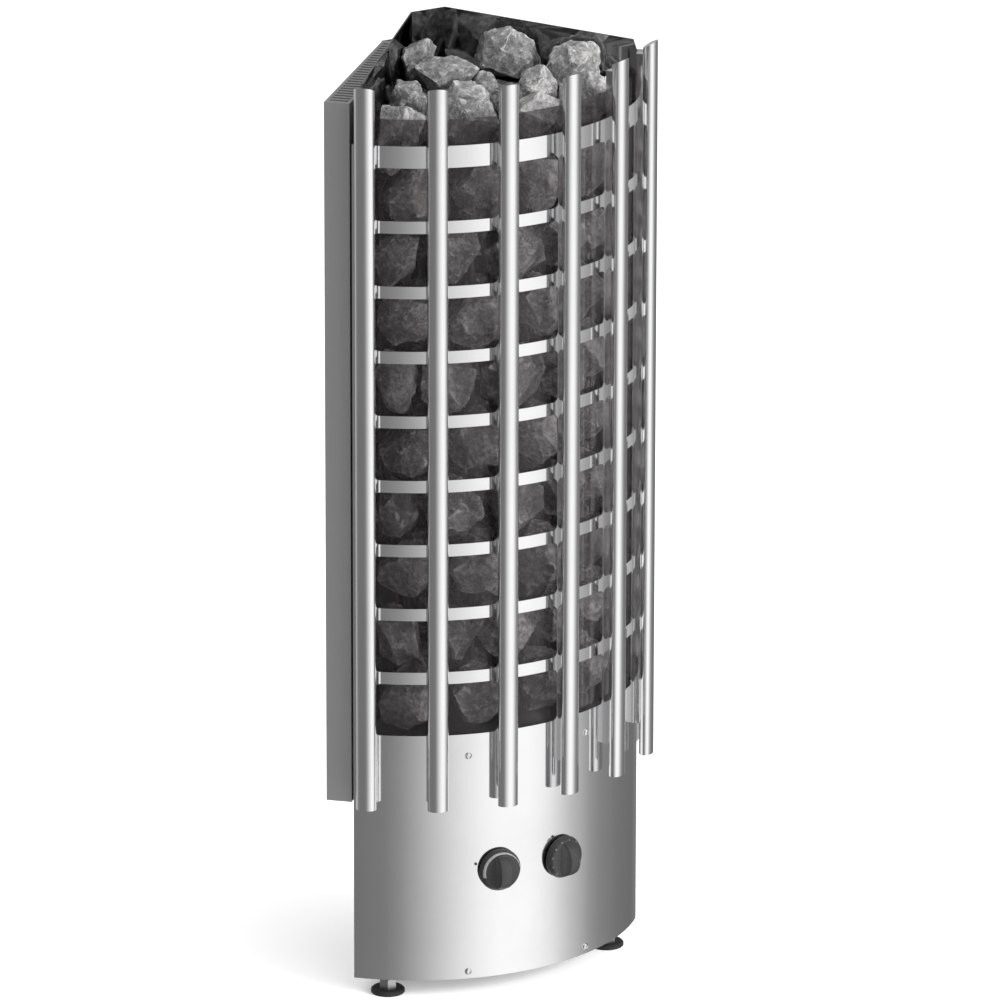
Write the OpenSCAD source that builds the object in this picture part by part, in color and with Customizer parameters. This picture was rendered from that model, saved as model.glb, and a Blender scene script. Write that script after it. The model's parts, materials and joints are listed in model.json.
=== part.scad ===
// Corner tower sauna heater: a quarter-round front of polished bars and bands over smoked glass,
// a dark liner against two walls, air ducts behind it, and a stone space over an electrical base.
// Origin: the middle of the rear foot's pad, on the floor. Front faces -Y, up is +Z.

/* [Curved casing] */
// Outer radius of the curved casing and of the grille
casing_r = 241; // [200:1:300]
// Height of the casing's lower edge above the floor
casing_bottom = 22; // [16:1:40]
// Height of the casing's upper edge, where the windows begin
casing_top = 296; // [280:1:340]
// Half of the angle that the curved casing spans
casing_half_angle = 46.5; // [46:0.1:47]
// Thickness of the casing, floor and liner sheet
sheet = 1.5; // [1:0.1:2]

/* [Grille] */
// Height from one window to the next
row_pitch = 70.4; // [66:0.1:80]
// Height of each narrow band
band_h = 13.3; // [10:0.1:20]
// Height of the wide band at the top
top_band_h = 23.6; // [18:0.1:30]
// Width of the sheet strip behind each bar
strip_w = 10.5; // [10:0.1:16]
// Corner radius of the windows
window_r = 6; // [3:0.1:7]

/* [Front bars] */
// Angle from one bar to the next
bar_pitch = 17; // [16.8:0.1:17.2]
// Width of a bar's oval section, along the front
bar_w = 22; // [18:0.5:24]
// Depth of a bar's oval section, away from the front
bar_d = 15; // [12:0.5:18]
// Wall of the bar tube
bar_wall = 1.5; // [1:0.1:2]
// Height of the bars' lower ends
bar_bottom = 218; // [200:1:235]
// Height of the bars' highest points
bar_top = 1007; // [1000:1:1030]
// Slope of the bars' upper ends
bar_slope = 28; // [10:1:40]
// Depth of the spacer strip between a bar and the grille
spacer_d = 7.2; // [6:0.2:9]
// Width of the spacer strip
spacer_w = 10; // [6:0.5:10]
// Length of bar below the spacer strip
spacer_lift = 34; // [20:1:50]
// Length of bar above the spacer strip
spacer_drop = 15; // [15:1:30]

/* [Smoked glass] */
// Thickness of the glass
glass_t = 4; // [3:0.5:5]
// Height of the glass's upper edge
glass_top = 967; // [950:1:980]
// Gap from the grille to the glass
glass_gap = 0.6; // [0.3:0.1:1.5]

/* [Liner] */
// Distance of the liner's inner faces in front of the wall lines through the axis
liner_inset = 4.2; // [3:0.1:6]
// Width of the flat at the liner's back corner
liner_flat_w = 40; // [30:1:60]
// Height of the liner's upper edge at the back
liner_back_top = 1025; // [1010:1:1050]
// Height of the liner's upper edge at the front
liner_front_top = 1004; // [995:1:1009]
// Size of the corner cut at the liner's front ends
liner_corner = 12; // [6:1:20]

/* [Air ducts] */
// Air gap between the liner and the duct
duct_gap = 12; // [8:1:20]
// Depth of the duct, from its inner to its outer face
duct_d = 27.3; // [20:0.1:34]
// Wall of the duct sheet
duct_wall = 1.2; // [0.8:0.1:1.5]
// Height of the duct's upper face
duct_top = 982; // [960:1:990]
// Pitch of the slots in the vent plate
slot_pitch = 9.1; // [8:0.1:12]
// Width of a slot
slot_w = 4.4; // [4:0.1:5]
// Border round the slots
slot_border = 3.6; // [3:0.1:5]
// Thickness of the vent plate
vent_t = 2; // [1.5:0.5:3]

/* [Controls] */
// Height of the knobs' axes
knob_z = 142; // [120:0.5:170]
// Half of the angle between the knobs
knob_angle = 9.2; // [8:0.1:10]
// Diameter of a knob
knob_d = 46; // [40:1:50]
// Height of a knob's disc
knob_h = 9; // [7:0.5:12]
// Height of the grip above the disc
grip_h = 15; // [8:0.5:16]
// Width of the grip
grip_w = 14; // [10:0.5:16]
// Gap between knob and casing
knob_gap = 1; // [0.5:0.1:2]
// Diameter of a control shaft
shaft_d = 6; // [5:0.5:8]
// Side of the square timer and thermostat bodies
control_w = 42; // [36:1:44]
// Depth of the timer and thermostat bodies
control_d = 38; // [30:1:45]

/* [Heating elements] */
// Diameter of the element tube
element_d = 8; // [7:0.5:10]
// Radius at which the element legs stand
element_r = 150; // [148:1:152]
// Angle between the two legs of an element
element_span = 16; // [15:0.5:17]
// Height of the elements above the cage floor
element_h = 590; // [320:5:610]

/* [Feet] */
// Diameter of a foot's pad
pad_d = 36; // [30:1:44]
// Height of the pad
pad_h = 5; // [4:0.5:8]
// Distance of the front feet from the middle
foot_x = 136; // [110:1:140]
// Distance of the front feet in front of the axis
foot_y = 170; // [168:1:178]
// Distance of the rear foot in front of the axis
rear_foot_y = 62; // [55:1:75]
// Width across flats of a foot's hexagon
foot_hex = 17; // [15:1:19]
// Diameter of a foot's stud
stud_d = 10; // [8:1:12]

/* [Stones] */
// Height from one layer of stones to the next
stone_pitch = 69; // [64:1:72]
// Nominal radius of a stone
stone_r = 46; // [42:1:50]
// Gap between touching stones
stone_gap = 0.4; // [0.2:0.1:0.8]

/* [Hidden] */

$fn = 96;
// Overrun of every cut, and the gap that keeps curved faces apart
over = 1;
skin = 0.3;
root2 = sqrt(2);

// Derived places of the sheets
casing_in = casing_r - sheet;
glass_r = casing_in - glass_gap;
glass_in = glass_r - glass_t;
window_rows = 9;
grille_top = casing_top + window_rows * row_pitch + top_band_h - band_h;
window_h = row_pitch - band_h;
bar_r = casing_r + spacer_d + bar_d / 2;
liner_back_y = -(liner_flat_w / 2 + liner_inset * root2);
liner_end = -(casing_in - skin);
liner_corner_s = -(liner_flat_w / 2 * root2 + liner_inset);
duct_in = duct_gap - liner_inset + sheet;
duct_out = duct_in + duct_d;
duct_front = -(casing_r - 2 * sheet);
duct_end = 0;
duct_bottom = bar_bottom;
side_out = duct_in - 2 * sheet;
side_in = side_out - sheet;
back_y = -(liner_flat_w / 2);
// Rows and columns of the duct spacers, as shares of the duct's height and length
spacer_rows = [0.36, 0.62, 0.92];
spacer_columns = [0.26, 0.8];
floor_h = 2;
floor_top = casing_top - 4 * sheet;
floor_bottom = floor_top - floor_h;
element_top = floor_top + element_h;
base_bottom = casing_bottom + 2;
base_top = base_bottom + sheet;
base_rim_h = 16;
floor_rim_h = 30;

// Screws of the casing
screw_angle = 17.5;
screw_d = 4;
screw_head_d = 7.5;
screw_head_h = 2.4;
screw_len = 9;
screw_low = casing_bottom + 8;
screw_high = casing_top - 24;

// Controls
control_turn = -0.3;
timer_at = control_turn - knob_angle;
thermostat_at = control_turn + knob_angle;
shaft_clear = 0.05;
shaft_hole_clear = 1.5;
shaft_end = 10;
shaft_in_knob = 6;
bracket_t = 2;
bracket_r = casing_in - 6;
bracket_w = control_w + 2;
bracket_foot = 22;
bracket_h = knob_z + control_w / 2 + 4 - base_top;
knob_edge = 1.2;
grip_r = knob_d / 2 - 3.5 * knob_edge;
mark_d = 3;
mark_h = 0.8;
mark_reach = knob_d / 2 + 4;

// Elements and what holds them
element_angles = [-26, 0, 26];
leg_hole_clear = 1;
cold_end = 26;
bushing_af = 14;
bushing_h = 7;
bend_r = element_r * sin(element_span / 2);
element_clear = 1;

// Sensors against the back of the liner
sensor_d = 6;
sensor_tube_d = 3;
sensor_len = 90;
sensor_top = 930;
sensor_gap = 5;
sensor_step = 9;
clip_h = 8;

// Electrical box
terminal_size = [66, 26, 24];
terminal_y = -100;
terminal_ways = 5;
terminal_screw_d = 4;
terminal_screw_h = 3;
limiter_size = [30, 24, 30];
limiter_y = -132;
button_d = 7;
button_travel = 2.5;
button_clear = 0.4;
gland_z = 70;
gland_bore = 13;
gland_thread_d = 20;
gland_len = 22;
gland_in = 12;
gland_af = 24;
gland_hex_h = 6;
gland_nut_h = 5;
earth_d = 6;
earth_len = 14;
earth_x = 70;
earth_y = -120;
earth_af = 10;
earth_nut_h = 5;

// Feet
hex_h = 11;
stud_len = 42;
nut_h = 10;
nut_af = 20;
foot_clear = 0.05;
pad_edge = 1.5;

// Stones: rings as shares of the glass radius, and the angles of the two kinds of layer
ring_shares = [0.808, 0.478, 0.24];
even_slots = [[0, -33], [0, -11], [0, 11], [0, 33], [1, -27], [1, 0], [1, 27], [2, 0]];
odd_slots = [[0, -38.5], [0, -20], [0, 0], [0, 20], [0, 38.5], [1, -26], [1, 1], [1, 26]];
stone_layers = 9;
first_stone_z = floor_top + stone_r * 0.76;
stone_points = 22;
golden = 137.50776;
stone_space_r = glass_in - skin;
// Top stones: radius share of the glass, angle, height above the glass edge as a share of the
// stone radius, and size as a share of the stone radius
top_stone_shares = [
    [0.80, -38, -0.75, 0.88], [0.80, -14, -0.72, 0.90], [0.80, 13, -0.70, 0.90],
    [0.80, 38, -0.72, 0.88], [0.45, -25, -0.70, 0.95], [0.44, 6, -0.75, 0.95],
    [0.45, 33, -0.70, 0.95], [0.20, 0, -0.65, 0.90],
    [0.26, -35, 0.17, 0.76], [0.40, -12.6, -0.02, 0.84], [0.45, 39, 0.15, 0.94],
    [0.77, 37, 0.19, 0.76], [0.70, 18, -0.14, 0.66], [0.60, -8, -0.34, 0.78],
    [0.58, -37, -0.36, 0.76], [0.66, 5, -0.20, 0.46], [0.90, 31, -0.22, 0.50]];

function noise(k) = let (v = sin(k * 127.1 + 31.7) * 4375.853) v - floor(v);
function polar(r, a) = [r * sin(a), -r * cos(a)];
function along(s, w) = [(s - w) / root2, (s + w) / root2];

layer_stones = [for (k = [0 : stone_layers - 1])
    let (slots = k % 2 == 0 ? even_slots : odd_slots)
    for (i = [0 : len(slots) - 1])
        let (n = k * 10 + i, ring = slots[i][0],
             r = ring_shares[ring] * glass_in + (noise(n) - 0.5) * stone_r * 0.12,
             p = polar(r, slots[i][1] + (noise(n + 300) - 0.5) * 3))
        [p.x, p.y, first_stone_z + k * stone_pitch + (noise(n + 600) - 0.5) * stone_r * 0.16,
         stone_r * (ring == 0 ? 1 : 0.82) * (0.94 + 0.12 * noise(n + 900)), k]];
top_stones = [for (t = top_stone_shares)
    let (p = polar(t[0] * glass_in, t[1]))
    [p.x, p.y, glass_top + t[2] * stone_r, t[3] * stone_r, stone_layers]];
all_stones = concat(layer_stones, top_stones);

// Where the two legs of element e stand
function leg(e, side) = polar(element_r, element_angles[e] + side * element_span / 2);

// Nearest point to p on the segment from a to b, in plan
function nearest(p, a, b) =
    let (d = b - a, t = max(0, min(1, ((p - a) * d) / (d * d)))) a + t * d;

// Distances from a stone's centre to what bounds it, as [unit normal, distance]
function wall_limits(c) = [
    [[-1 / root2, 1 / root2, 0], -liner_inset - skin - (c.y - c.x) / root2],
    [[1 / root2, 1 / root2, 0], -liner_inset - skin - (c.y + c.x) / root2],
    [[0, 1, 0], liner_back_y - sensor_gap - sensor_d - skin - c.y],
    [[0, 0, -1], c.z - floor_top - stone_gap]];
function element_limits(c) = [for (e = [0 : 2])
    let (q = nearest([c.x, c.y], leg(e, -1), leg(e, 1)), d = [q.x - c.x, q.y - c.y, 0])
    if (c.z < element_top + stone_r && norm(d) < 3 * stone_r)
        [d / norm(d), norm(d) - element_d / 2 - element_clear]];
function stone_limits(i) = let (c = all_stones[i])
    [for (j = [0 : len(all_stones) - 1])
        let (o = all_stones[j], d = [o.x - c.x, o.y - c.y, o.z - c.z])
        if (j != i && norm(d) < 1.3 * (c[3] + o[3]))
            [d / norm(d), norm(d) * c[3] / (c[3] + o[3]) - stone_gap / 2]];

// Distance from c along u to the inside of the glass
function glass_reach(c, u) =
    let (a = u.x * u.x + u.y * u.y, b = c.x * u.x + c.y * u.y,
         g = c.x * c.x + c.y * c.y - stone_space_r * stone_space_r)
    a < 0.0001 ? 10 * stone_r : (-b + sqrt(b * b - a * g)) / a;

function squash(u, q) =
    let (a = q * 77, b = q * 31, x = u.x * cos(a) + u.y * sin(a), y = u.y * cos(a) - u.x * sin(a),
         z = u.z * cos(b) + x * sin(b), x2 = x * cos(b) - u.z * sin(b))
    1 / norm([x2 / 1.10, y / 0.94, z / 0.86]);

function stone_shape(i) =
    let (s = all_stones[i], c = [s.x, s.y, s.z],
         limits = concat(wall_limits(c), element_limits(c), stone_limits(i)))
    [for (k = [0 : stone_points - 1])
        let (h = 1 - 2 * (k + 0.5) / stone_points, f = golden * k + 47 * i, m = sqrt(1 - h * h),
             u = [m * cos(f), m * sin(f), h],
             own = s[3] * squash(u, noise(i + 50) * 5) * (0.87 + 0.22 * noise(i * 37 + k)),
             cuts = [for (l = limits) if (u * l[0] > 0.01) l[1] / (u * l[0])])
        c + u * min(concat([own, glass_reach(c, u)], cuts))];

module stones(low, high) {
    color([0.30, 0.30, 0.30])
    for (i = [0 : len(all_stones) - 1])
        if (all_stones[i][4] >= low && all_stones[i][4] <= high) {
            shape = stone_shape(i);
            hull() for (p = shape) translate(p) cube(stone_gap / 8, center = true);
        }
}

// Helpers

// Children are drawn in wall coordinates: X runs back along the wall, Y out towards it
module wall_frame() rotate([0, 0, 45]) children();

// Moves what is drawn about the axis so that the rear foot stands on the origin
module from_axis() translate([0, rear_foot_y, 0]) children();

// Curved sheet round the axis, from angle -half to half
module curved_sheet(r, t, low, high, half)
    rotate([0, 0, -90 - half])
        rotate_extrude(angle = 2 * half, $fn = 180)
            translate([r - t, low]) square([t, high - low]);

// Children are drawn with Z pointing out of the curved front at an angle and a height
module on_front(angle, z)
    rotate([0, 0, angle]) translate([0, 0, z]) rotate([90, 0, 0]) children();

// Floor plan inside the walls, out to radius r, wall line w and back line y
module plan(r, w, y)
    intersection() {
        circle(r = r, $fn = 180);
        polygon([[-(w * root2 - y), y], [w * root2 - y, y],
                 [casing_r * 2, w * root2 - casing_r * 2], [-casing_r * 2, w * root2 - casing_r * 2]]);
    }

module hexagon(af, h) cylinder(d = af / cos(30), h = h, $fn = 6);

module rounded_rect(w, h, r)
    polygon([for (q = [0 : 3]) for (k = [0 : 4])
        let (a = q * 90 + k * 22.5, x = q == 0 || q == 3 ? 1 : -1, y = q < 2 ? 1 : -1)
        [x * (w / 2 - r) + r * cos(a), y * (h / 2 - r) + r * sin(a)]]);

// Casing

module front_panel() color([0.72, 0.72, 0.72]) {
    window_w = 2 * casing_r * sin(bar_pitch / 2 - asin(strip_w / 2 / casing_r));
    difference() {
        curved_sheet(casing_r, sheet, casing_bottom, grille_top, casing_half_angle);
        for (c = [-2 : 2]) for (k = [0 : window_rows - 1])
            on_front(c * bar_pitch, casing_top + k * row_pitch + window_h / 2)
                translate([0, 0, casing_in - 4 * sheet]) linear_extrude(6 * sheet)
                    rounded_rect(window_w, window_h, window_r);
        for (a = [timer_at, thermostat_at])
            on_front(a, knob_z)
                translate([0, 0, casing_in - over - sheet])
                    cylinder(d = shaft_d + 2 * shaft_hole_clear, h = 2 * over + 3 * sheet);
        for (a = [-1, 1]) for (z = [screw_low, screw_high])
            on_front(a * screw_angle, z)
                translate([0, 0, casing_in - over - sheet])
                    cylinder(d = screw_d + 2 * skin, h = 2 * over + 3 * sheet, $fn = 32);
    }
}

module casing_side(side) color([0.46, 0.46, 0.46])
    mirror([side > 0 ? 1 : 0, 0, 0]) wall_frame()
        translate([-sqrt(pow(casing_in, 2) - pow(side_out, 2)) + skin, side_in, base_top])
            cube([casing_in - skin + back_y * root2 - side_out, sheet, floor_bottom - base_top]);

module casing_back() color([0.46, 0.46, 0.46]) {
    half = side_in * root2 - back_y;
    difference() {
        translate([-half, back_y - sheet, base_top])
            cube([2 * half, sheet, floor_bottom - base_top]);
        translate([0, back_y + over, gland_z]) rotate([90, 0, 0])
            cylinder(d = gland_thread_d + 2 * foot_clear, h = sheet + 2 * over);
    }
}

module foot_places() {
    for (x = [-foot_x, foot_x]) translate([x, -foot_y, 0]) children();
    translate([0, -rear_foot_y, 0]) children();
}

module base_plate() color([0.6, 0.6, 0.6])
    difference() {
        union() {
            translate([0, 0, base_bottom]) linear_extrude(sheet)
                plan(casing_in - skin - sheet / 2, side_out, back_y);
            curved_sheet(casing_in - skin, sheet, base_bottom, base_top + base_rim_h,
                         casing_half_angle - 2);
        }
        foot_places() translate([0, 0, base_bottom - over])
            cylinder(d = stud_d + 1, h = sheet + 2 * over);
        translate([0, limiter_y, base_bottom - over])
            cylinder(d = button_d + 2 * button_clear, h = sheet + 2 * over);
        translate([earth_x, earth_y, base_bottom - over])
            cylinder(d = earth_d + 2 * foot_clear, h = sheet + 2 * over, $fn = 32);
        for (a = [-1, 1]) on_front(a * screw_angle, screw_low)
            translate([0, 0, casing_in - 3 * sheet])
                cylinder(d = screw_d + 2 * foot_clear, h = 4 * sheet, $fn = 32);
        for (k = [-2 : 2]) rotate([0, 0, k * 9])
            translate([-slot_w / 2, -casing_r * 0.88, base_bottom - over])
                cube([slot_w, casing_r * 0.12, sheet + 2 * over]);
    }

module cage_floor() color([0.5, 0.5, 0.5])
    difference() {
        union() {
            translate([0, 0, floor_bottom]) linear_extrude(floor_h)
                plan(casing_in - skin - sheet / 2, side_out, back_y);
            curved_sheet(casing_in - skin, sheet, floor_top - floor_rim_h, floor_top,
                         casing_half_angle - 2);
        }
        for (e = [0 : 2]) for (s = [-1, 1])
            translate([leg(e, s).x, leg(e, s).y, floor_bottom - over])
                cylinder(d = element_d + 2 * leg_hole_clear, h = floor_h + 2 * over, $fn = 48);
        for (x = [-1, 1])
            translate([x * sensor_step, liner_back_y - sensor_gap, floor_bottom - over])
                cylinder(d = sensor_tube_d + 2 * skin, h = floor_h + 2 * over, $fn = 32);
        for (a = [-1, 1]) on_front(a * screw_angle, screw_high)
            translate([0, 0, casing_in - 3 * sheet])
                cylinder(d = screw_d + 2 * foot_clear, h = 4 * sheet, $fn = 32);
        for (k = [-3 : 3]) rotate([0, 0, k * 11])
            translate([-slot_w / 2, -casing_r * 0.86, floor_bottom - over])
                cube([slot_w, casing_r * 0.16, floor_h + 2 * over]);
    }

module smoked_glass() color([0.12, 0.12, 0.13, 0.6])
    curved_sheet(glass_r, glass_t, floor_top, glass_top,
                 45 - asin((liner_inset + skin) / glass_in) - asin(skin / glass_in));

// Front bars

function oval(w, d) = [for (k = [0 : 43]) [w / 2 * cos(k * 360 / 44), d / 2 * sin(k * 360 / 44)]];

// Oval column from the bars' lower end up to the sloped cut, its top lowered by drop
module oval_column(w, d, low, drop)
    difference() {
        translate([0, -bar_r, low]) linear_extrude(bar_top - low) polygon(oval(w, d));
        translate([-bar_w, -bar_r - bar_d / 2, bar_top - drop]) rotate([-bar_slope, 0, 0])
            translate([0, -bar_d, 0]) cube([2 * bar_w, 4 * bar_d, 4 * bar_d]);
    }

module front_bar(k) color([0.8, 0.8, 0.8])
    rotate([0, 0, (k - 3.5) * bar_pitch])
        difference() {
            oval_column(bar_w, bar_d, bar_bottom, 0);
            oval_column(bar_w - 2 * bar_wall, bar_d - 2 * bar_wall, bar_bottom - over,
                        bar_wall / cos(bar_slope));
        }

module bar_spacers() color([0.7, 0.7, 0.7])
    for (k = [1 : 6]) rotate([0, 0, (k - 3.5) * bar_pitch])
        translate([-spacer_w / 2, -casing_r - spacer_d, bar_bottom + spacer_lift])
            difference() {
                translate([0, -bar_wall, 0])
                    cube([spacer_w, spacer_d + bar_wall,
                          bar_top - spacer_drop - bar_bottom - spacer_lift]);
                translate([spacer_w / 2, spacer_d + casing_r, -over])
                    cylinder(r = casing_r + skin / 4, h = bar_top, $fn = 180);
                translate([spacer_w / 2, -bar_d / 2, -over]) linear_extrude(bar_top)
                    polygon(oval(bar_w, bar_d));
            }

module bar_plugs() color([0.1, 0.1, 0.1])
    for (k = [1 : 6]) rotate([0, 0, (k - 3.5) * bar_pitch])
        translate([0, -bar_r, bar_bottom]) linear_extrude(2 * bar_wall)
            polygon(oval(bar_w - 2 * bar_wall - skin, bar_d - 2 * bar_wall - skin));

// Liner and ducts

module liner() color([0.14, 0.14, 0.15])
    difference() {
        translate([0, 0, floor_top]) linear_extrude(liner_back_top - floor_top)
            polygon([for (m = [-1, 1]) let (f = m < 0 ? [0, 1, 2] : [2, 1, 0],
                         out = liner_inset - sheet, bend = sheet * tan(22.5),
                         inner = [along(liner_end, -liner_inset),
                                  along(liner_corner_s, -liner_inset)],
                         outer = [along(liner_end, -out), along(liner_corner_s + bend, -out)])
                     each m < 0
                         ? [outer[1], outer[0], inner[0], inner[1]]
                         : [for (q = [inner[1], inner[0], outer[0], outer[1]]) [-q.x, q.y]]]);
        for (m = [0, 1]) mirror([m, 0, 0]) wall_frame()
            translate([0, -liner_inset - over, 0]) rotate([90, 0, 0]) mirror([0, 0, 1])
                linear_extrude(sheet + 2 * over)
                    polygon([[liner_corner_s, liner_back_top],
                             [liner_end + liner_corner / 3, liner_front_top],
                             [liner_end, liner_front_top - liner_corner],
                             [liner_end - over, liner_front_top - liner_corner],
                             [liner_end - over, liner_back_top + over],
                             [liner_corner_s, liner_back_top + over]]);
    }

module duct(side) color([0.46, 0.46, 0.46])
    mirror([side > 0 ? 1 : 0, 0, 0]) wall_frame()
        difference() {
            translate([duct_front, duct_in, duct_bottom])
                cube([duct_end - duct_front, duct_d, duct_top - vent_t - duct_bottom]);
            translate([duct_front + duct_wall, duct_in + duct_wall, duct_bottom - over])
                cube([duct_end - duct_front - 2 * duct_wall, duct_d - 2 * duct_wall,
                      duct_top - duct_bottom + 2 * over]);
        }

module vent(side) color([0.5, 0.5, 0.5])
    mirror([side > 0 ? 1 : 0, 0, 0]) wall_frame()
        difference() {
            translate([duct_front, duct_in, duct_top - vent_t])
                cube([duct_end - duct_front, duct_d, vent_t]);
            for (s = [duct_front + 2 * slot_border : slot_pitch : duct_end - 2 * slot_border - slot_w])
                translate([s, duct_in + slot_border, duct_top - vent_t - over])
                    cube([slot_w, duct_d - 2 * slot_border, vent_t + 2 * over]);
        }

module duct_back_cover() color([0.46, 0.46, 0.46]) {
    half = (duct_out - duct_end) / root2;
    flange = duct_out - duct_d / 2;
    left = [[-half + sheet * root2, half], along(duct_end + sheet, flange), along(duct_end, flange),
            [-half, half], [-half, half + sheet]];
    translate([0, 0, duct_bottom]) linear_extrude(duct_top - duct_bottom)
        polygon(concat(left, [for (k = [4 : -1 : 0]) [-left[k].x, left[k].y]]));
}

module duct_spacers() color([0.6, 0.6, 0.6])
    for (m = [0, 1]) mirror([m, 0, 0]) wall_frame()
        for (s = spacer_columns) for (z = spacer_rows)
            translate([s * duct_front, duct_in - duct_gap, z * duct_top]) rotate([-90, 0, 0])
                hexagon(element_d, duct_gap);

// Heating elements

module element(e) color([0.45, 0.43, 0.40]) {
    rotate([0, 0, element_angles[e]])
        translate([0, -element_r * cos(element_span / 2), 0]) {
            for (x = [-1, 1]) translate([x * bend_r, 0, floor_bottom - cold_end])
                cylinder(d = element_d, h = element_top - bend_r - floor_bottom + cold_end, $fn = 48);
            translate([0, 0, element_top - bend_r]) rotate([90, 0, 0])
                rotate_extrude(angle = 180, $fn = 96)
                    translate([bend_r, 0]) circle(d = element_d, $fn = 48);
        }
}

module element_bushings() color([0.75, 0.6, 0.25])
    for (e = [0 : 2]) for (s = [-1, 1])
        translate([leg(e, s).x, leg(e, s).y, floor_bottom - bushing_h])
            difference() {
                hexagon(bushing_af, bushing_h);
                translate([0, 0, -over])
                    cylinder(d = element_d + 2 * foot_clear, h = bushing_h + 2 * over, $fn = 48);
            }

// Controls

module knob(angle) color([0.09, 0.09, 0.09])
    on_front(angle, knob_z) translate([0, 0, casing_r + knob_gap])
        difference() {
            union() {
                rotate_extrude(convexity = 4)
                    polygon([[0, 0], [knob_d / 2 - knob_edge, 0], [knob_d / 2, knob_edge],
                             [knob_d / 2, knob_h / 3], [knob_d / 2 - 2 * knob_edge, knob_h - knob_edge],
                             [knob_d / 2 - 3 * knob_edge, knob_h], [0, knob_h]]);
                intersection() {
                    rotate_extrude(convexity = 4) polygon(concat([[0, knob_h - knob_edge]],
                        [for (k = [0 : 12]) [grip_r * cos(k * 7.5), knob_h + grip_h * sin(k * 7.5)]]));
                    translate([0, -knob_d / 2, 0]) rotate([-90, 0, 0]) linear_extrude(knob_d)
                        polygon([[-grip_w / 2, 0], [grip_w / 2, 0], [grip_w / 2, -knob_h],
                                 [grip_w / 3, -knob_h - 2 * grip_h],
                                 [-grip_w / 3, -knob_h - 2 * grip_h], [-grip_w / 2, -knob_h]]);
                }
            }
            translate([0, 0, -over])
                cylinder(d = shaft_d + 2 * shaft_clear, h = shaft_in_knob + over, $fn = 48);
        }

module shaft(angle) color([0.75, 0.75, 0.75])
    on_front(angle, knob_z) translate([0, 0, bracket_r - bracket_t - shaft_end])
        cylinder(d = shaft_d, $fn = 48,
                 h = casing_r + knob_gap + shaft_in_knob - bracket_r + bracket_t + shaft_end);

module control(angle, tint) color(tint)
    on_front(angle, knob_z)
        difference() {
            translate([-control_w / 2, -control_w / 2, bracket_r - bracket_t - control_d])
                cube([control_w, control_w, control_d]);
            translate([0, 0, bracket_r - bracket_t - shaft_end])
                cylinder(d = shaft_d + 2 * shaft_clear, h = shaft_end + over, $fn = 48);
        }

module control_bracket() color([0.62, 0.62, 0.62])
    for (a = [timer_at, thermostat_at])
        rotate([0, 0, a])
            difference() {
                union() {
                    translate([-bracket_w / 2, -bracket_r, base_top])
                        cube([bracket_w, bracket_t, bracket_h]);
                    translate([-bracket_w / 2, -bracket_r, base_top])
                        cube([bracket_w, bracket_foot, bracket_t]);
                }
                translate([0, -bracket_r + bracket_t + over, knob_z]) rotate([90, 0, 0])
                    cylinder(d = shaft_d + shaft_hole_clear, h = bracket_t + 2 * over, $fn = 48);
            }

module index_marks() color([0.1, 0.1, 0.1])
    for (m = [[timer_at, 162], [thermostat_at, 116]])
        on_front(m[0] + mark_reach * cos(m[1]) / casing_r * 180 / PI,
                 knob_z + mark_reach * sin(m[1]))
            translate([0, 0, casing_r]) cylinder(d = mark_d, h = mark_h, $fn = 32);

module casing_screws() color([0.8, 0.8, 0.8])
    for (a = [-1, 1]) for (z = [screw_low, screw_high])
        on_front(a * screw_angle, z) {
            translate([0, 0, casing_r - screw_len]) cylinder(d = screw_d, h = screw_len, $fn = 32);
            translate([0, 0, casing_r]) cylinder(d = screw_head_d, h = screw_head_h / 3, $fn = 32);
            translate([0, 0, casing_r + screw_head_h / 3])
                cylinder(d1 = screw_head_d, d2 = screw_head_d / 2, h = screw_head_h * 2 / 3, $fn = 32);
        }

// Sensors

module sensor_tubes() color([0.7, 0.45, 0.3])
    for (x = [-1, 1]) translate([x * sensor_step, liner_back_y - sensor_gap, 0]) {
        translate([0, 0, floor_bottom - cold_end])
            cylinder(d = sensor_tube_d, h = sensor_top - sensor_len - floor_bottom + cold_end, $fn = 32);
        translate([0, 0, sensor_top - sensor_len]) cylinder(d = sensor_d, h = sensor_len, $fn = 32);
    }

module sensor_clips() color([0.6, 0.6, 0.6])
    for (z = [sensor_top - sensor_len / 4, sensor_top - sensor_len * 3 / 4])
        difference() {
            translate([-sensor_step - sensor_d, liner_back_y - sensor_gap - sensor_d / 3, z])
                cube([2 * (sensor_step + sensor_d), sensor_gap + sensor_d / 3, clip_h]);
            for (x = [-1, 1]) translate([x * sensor_step, liner_back_y - sensor_gap, z - over])
                cylinder(d = sensor_d + 2 * foot_clear, h = clip_h + 2 * over, $fn = 32);
        }

// Electrical box

module terminal_block() color([0.9, 0.88, 0.8])
    translate([-terminal_size.x / 2, terminal_y - terminal_size.y / 2, base_top])
        difference() {
            cube(terminal_size);
            for (k = [0 : terminal_ways - 1])
                translate([(k + 0.5) * terminal_size.x / terminal_ways, terminal_size.y / 2,
                           terminal_size.z - terminal_screw_h])
                    cylinder(d = terminal_screw_d + 2 * skin, h = terminal_screw_h + over, $fn = 32);
        }

module terminal_screws() color([0.75, 0.6, 0.25])
    translate([-terminal_size.x / 2, terminal_y, base_top + terminal_size.z - terminal_screw_h])
        for (k = [0 : terminal_ways - 1]) translate([(k + 0.5) * terminal_size.x / terminal_ways, 0, 0])
            cylinder(d = terminal_screw_d, h = terminal_screw_h - skin, $fn = 32);

module limiter_body() color([0.15, 0.15, 0.15])
    translate([0, limiter_y, base_top])
        difference() {
            translate([-limiter_size.x / 2, -limiter_size.y / 2, 0]) cube(limiter_size);
            translate([0, 0, -over])
                cylinder(d = button_d + 2 * shaft_clear, h = limiter_size.z / 2 + over, $fn = 48);
        }

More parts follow.
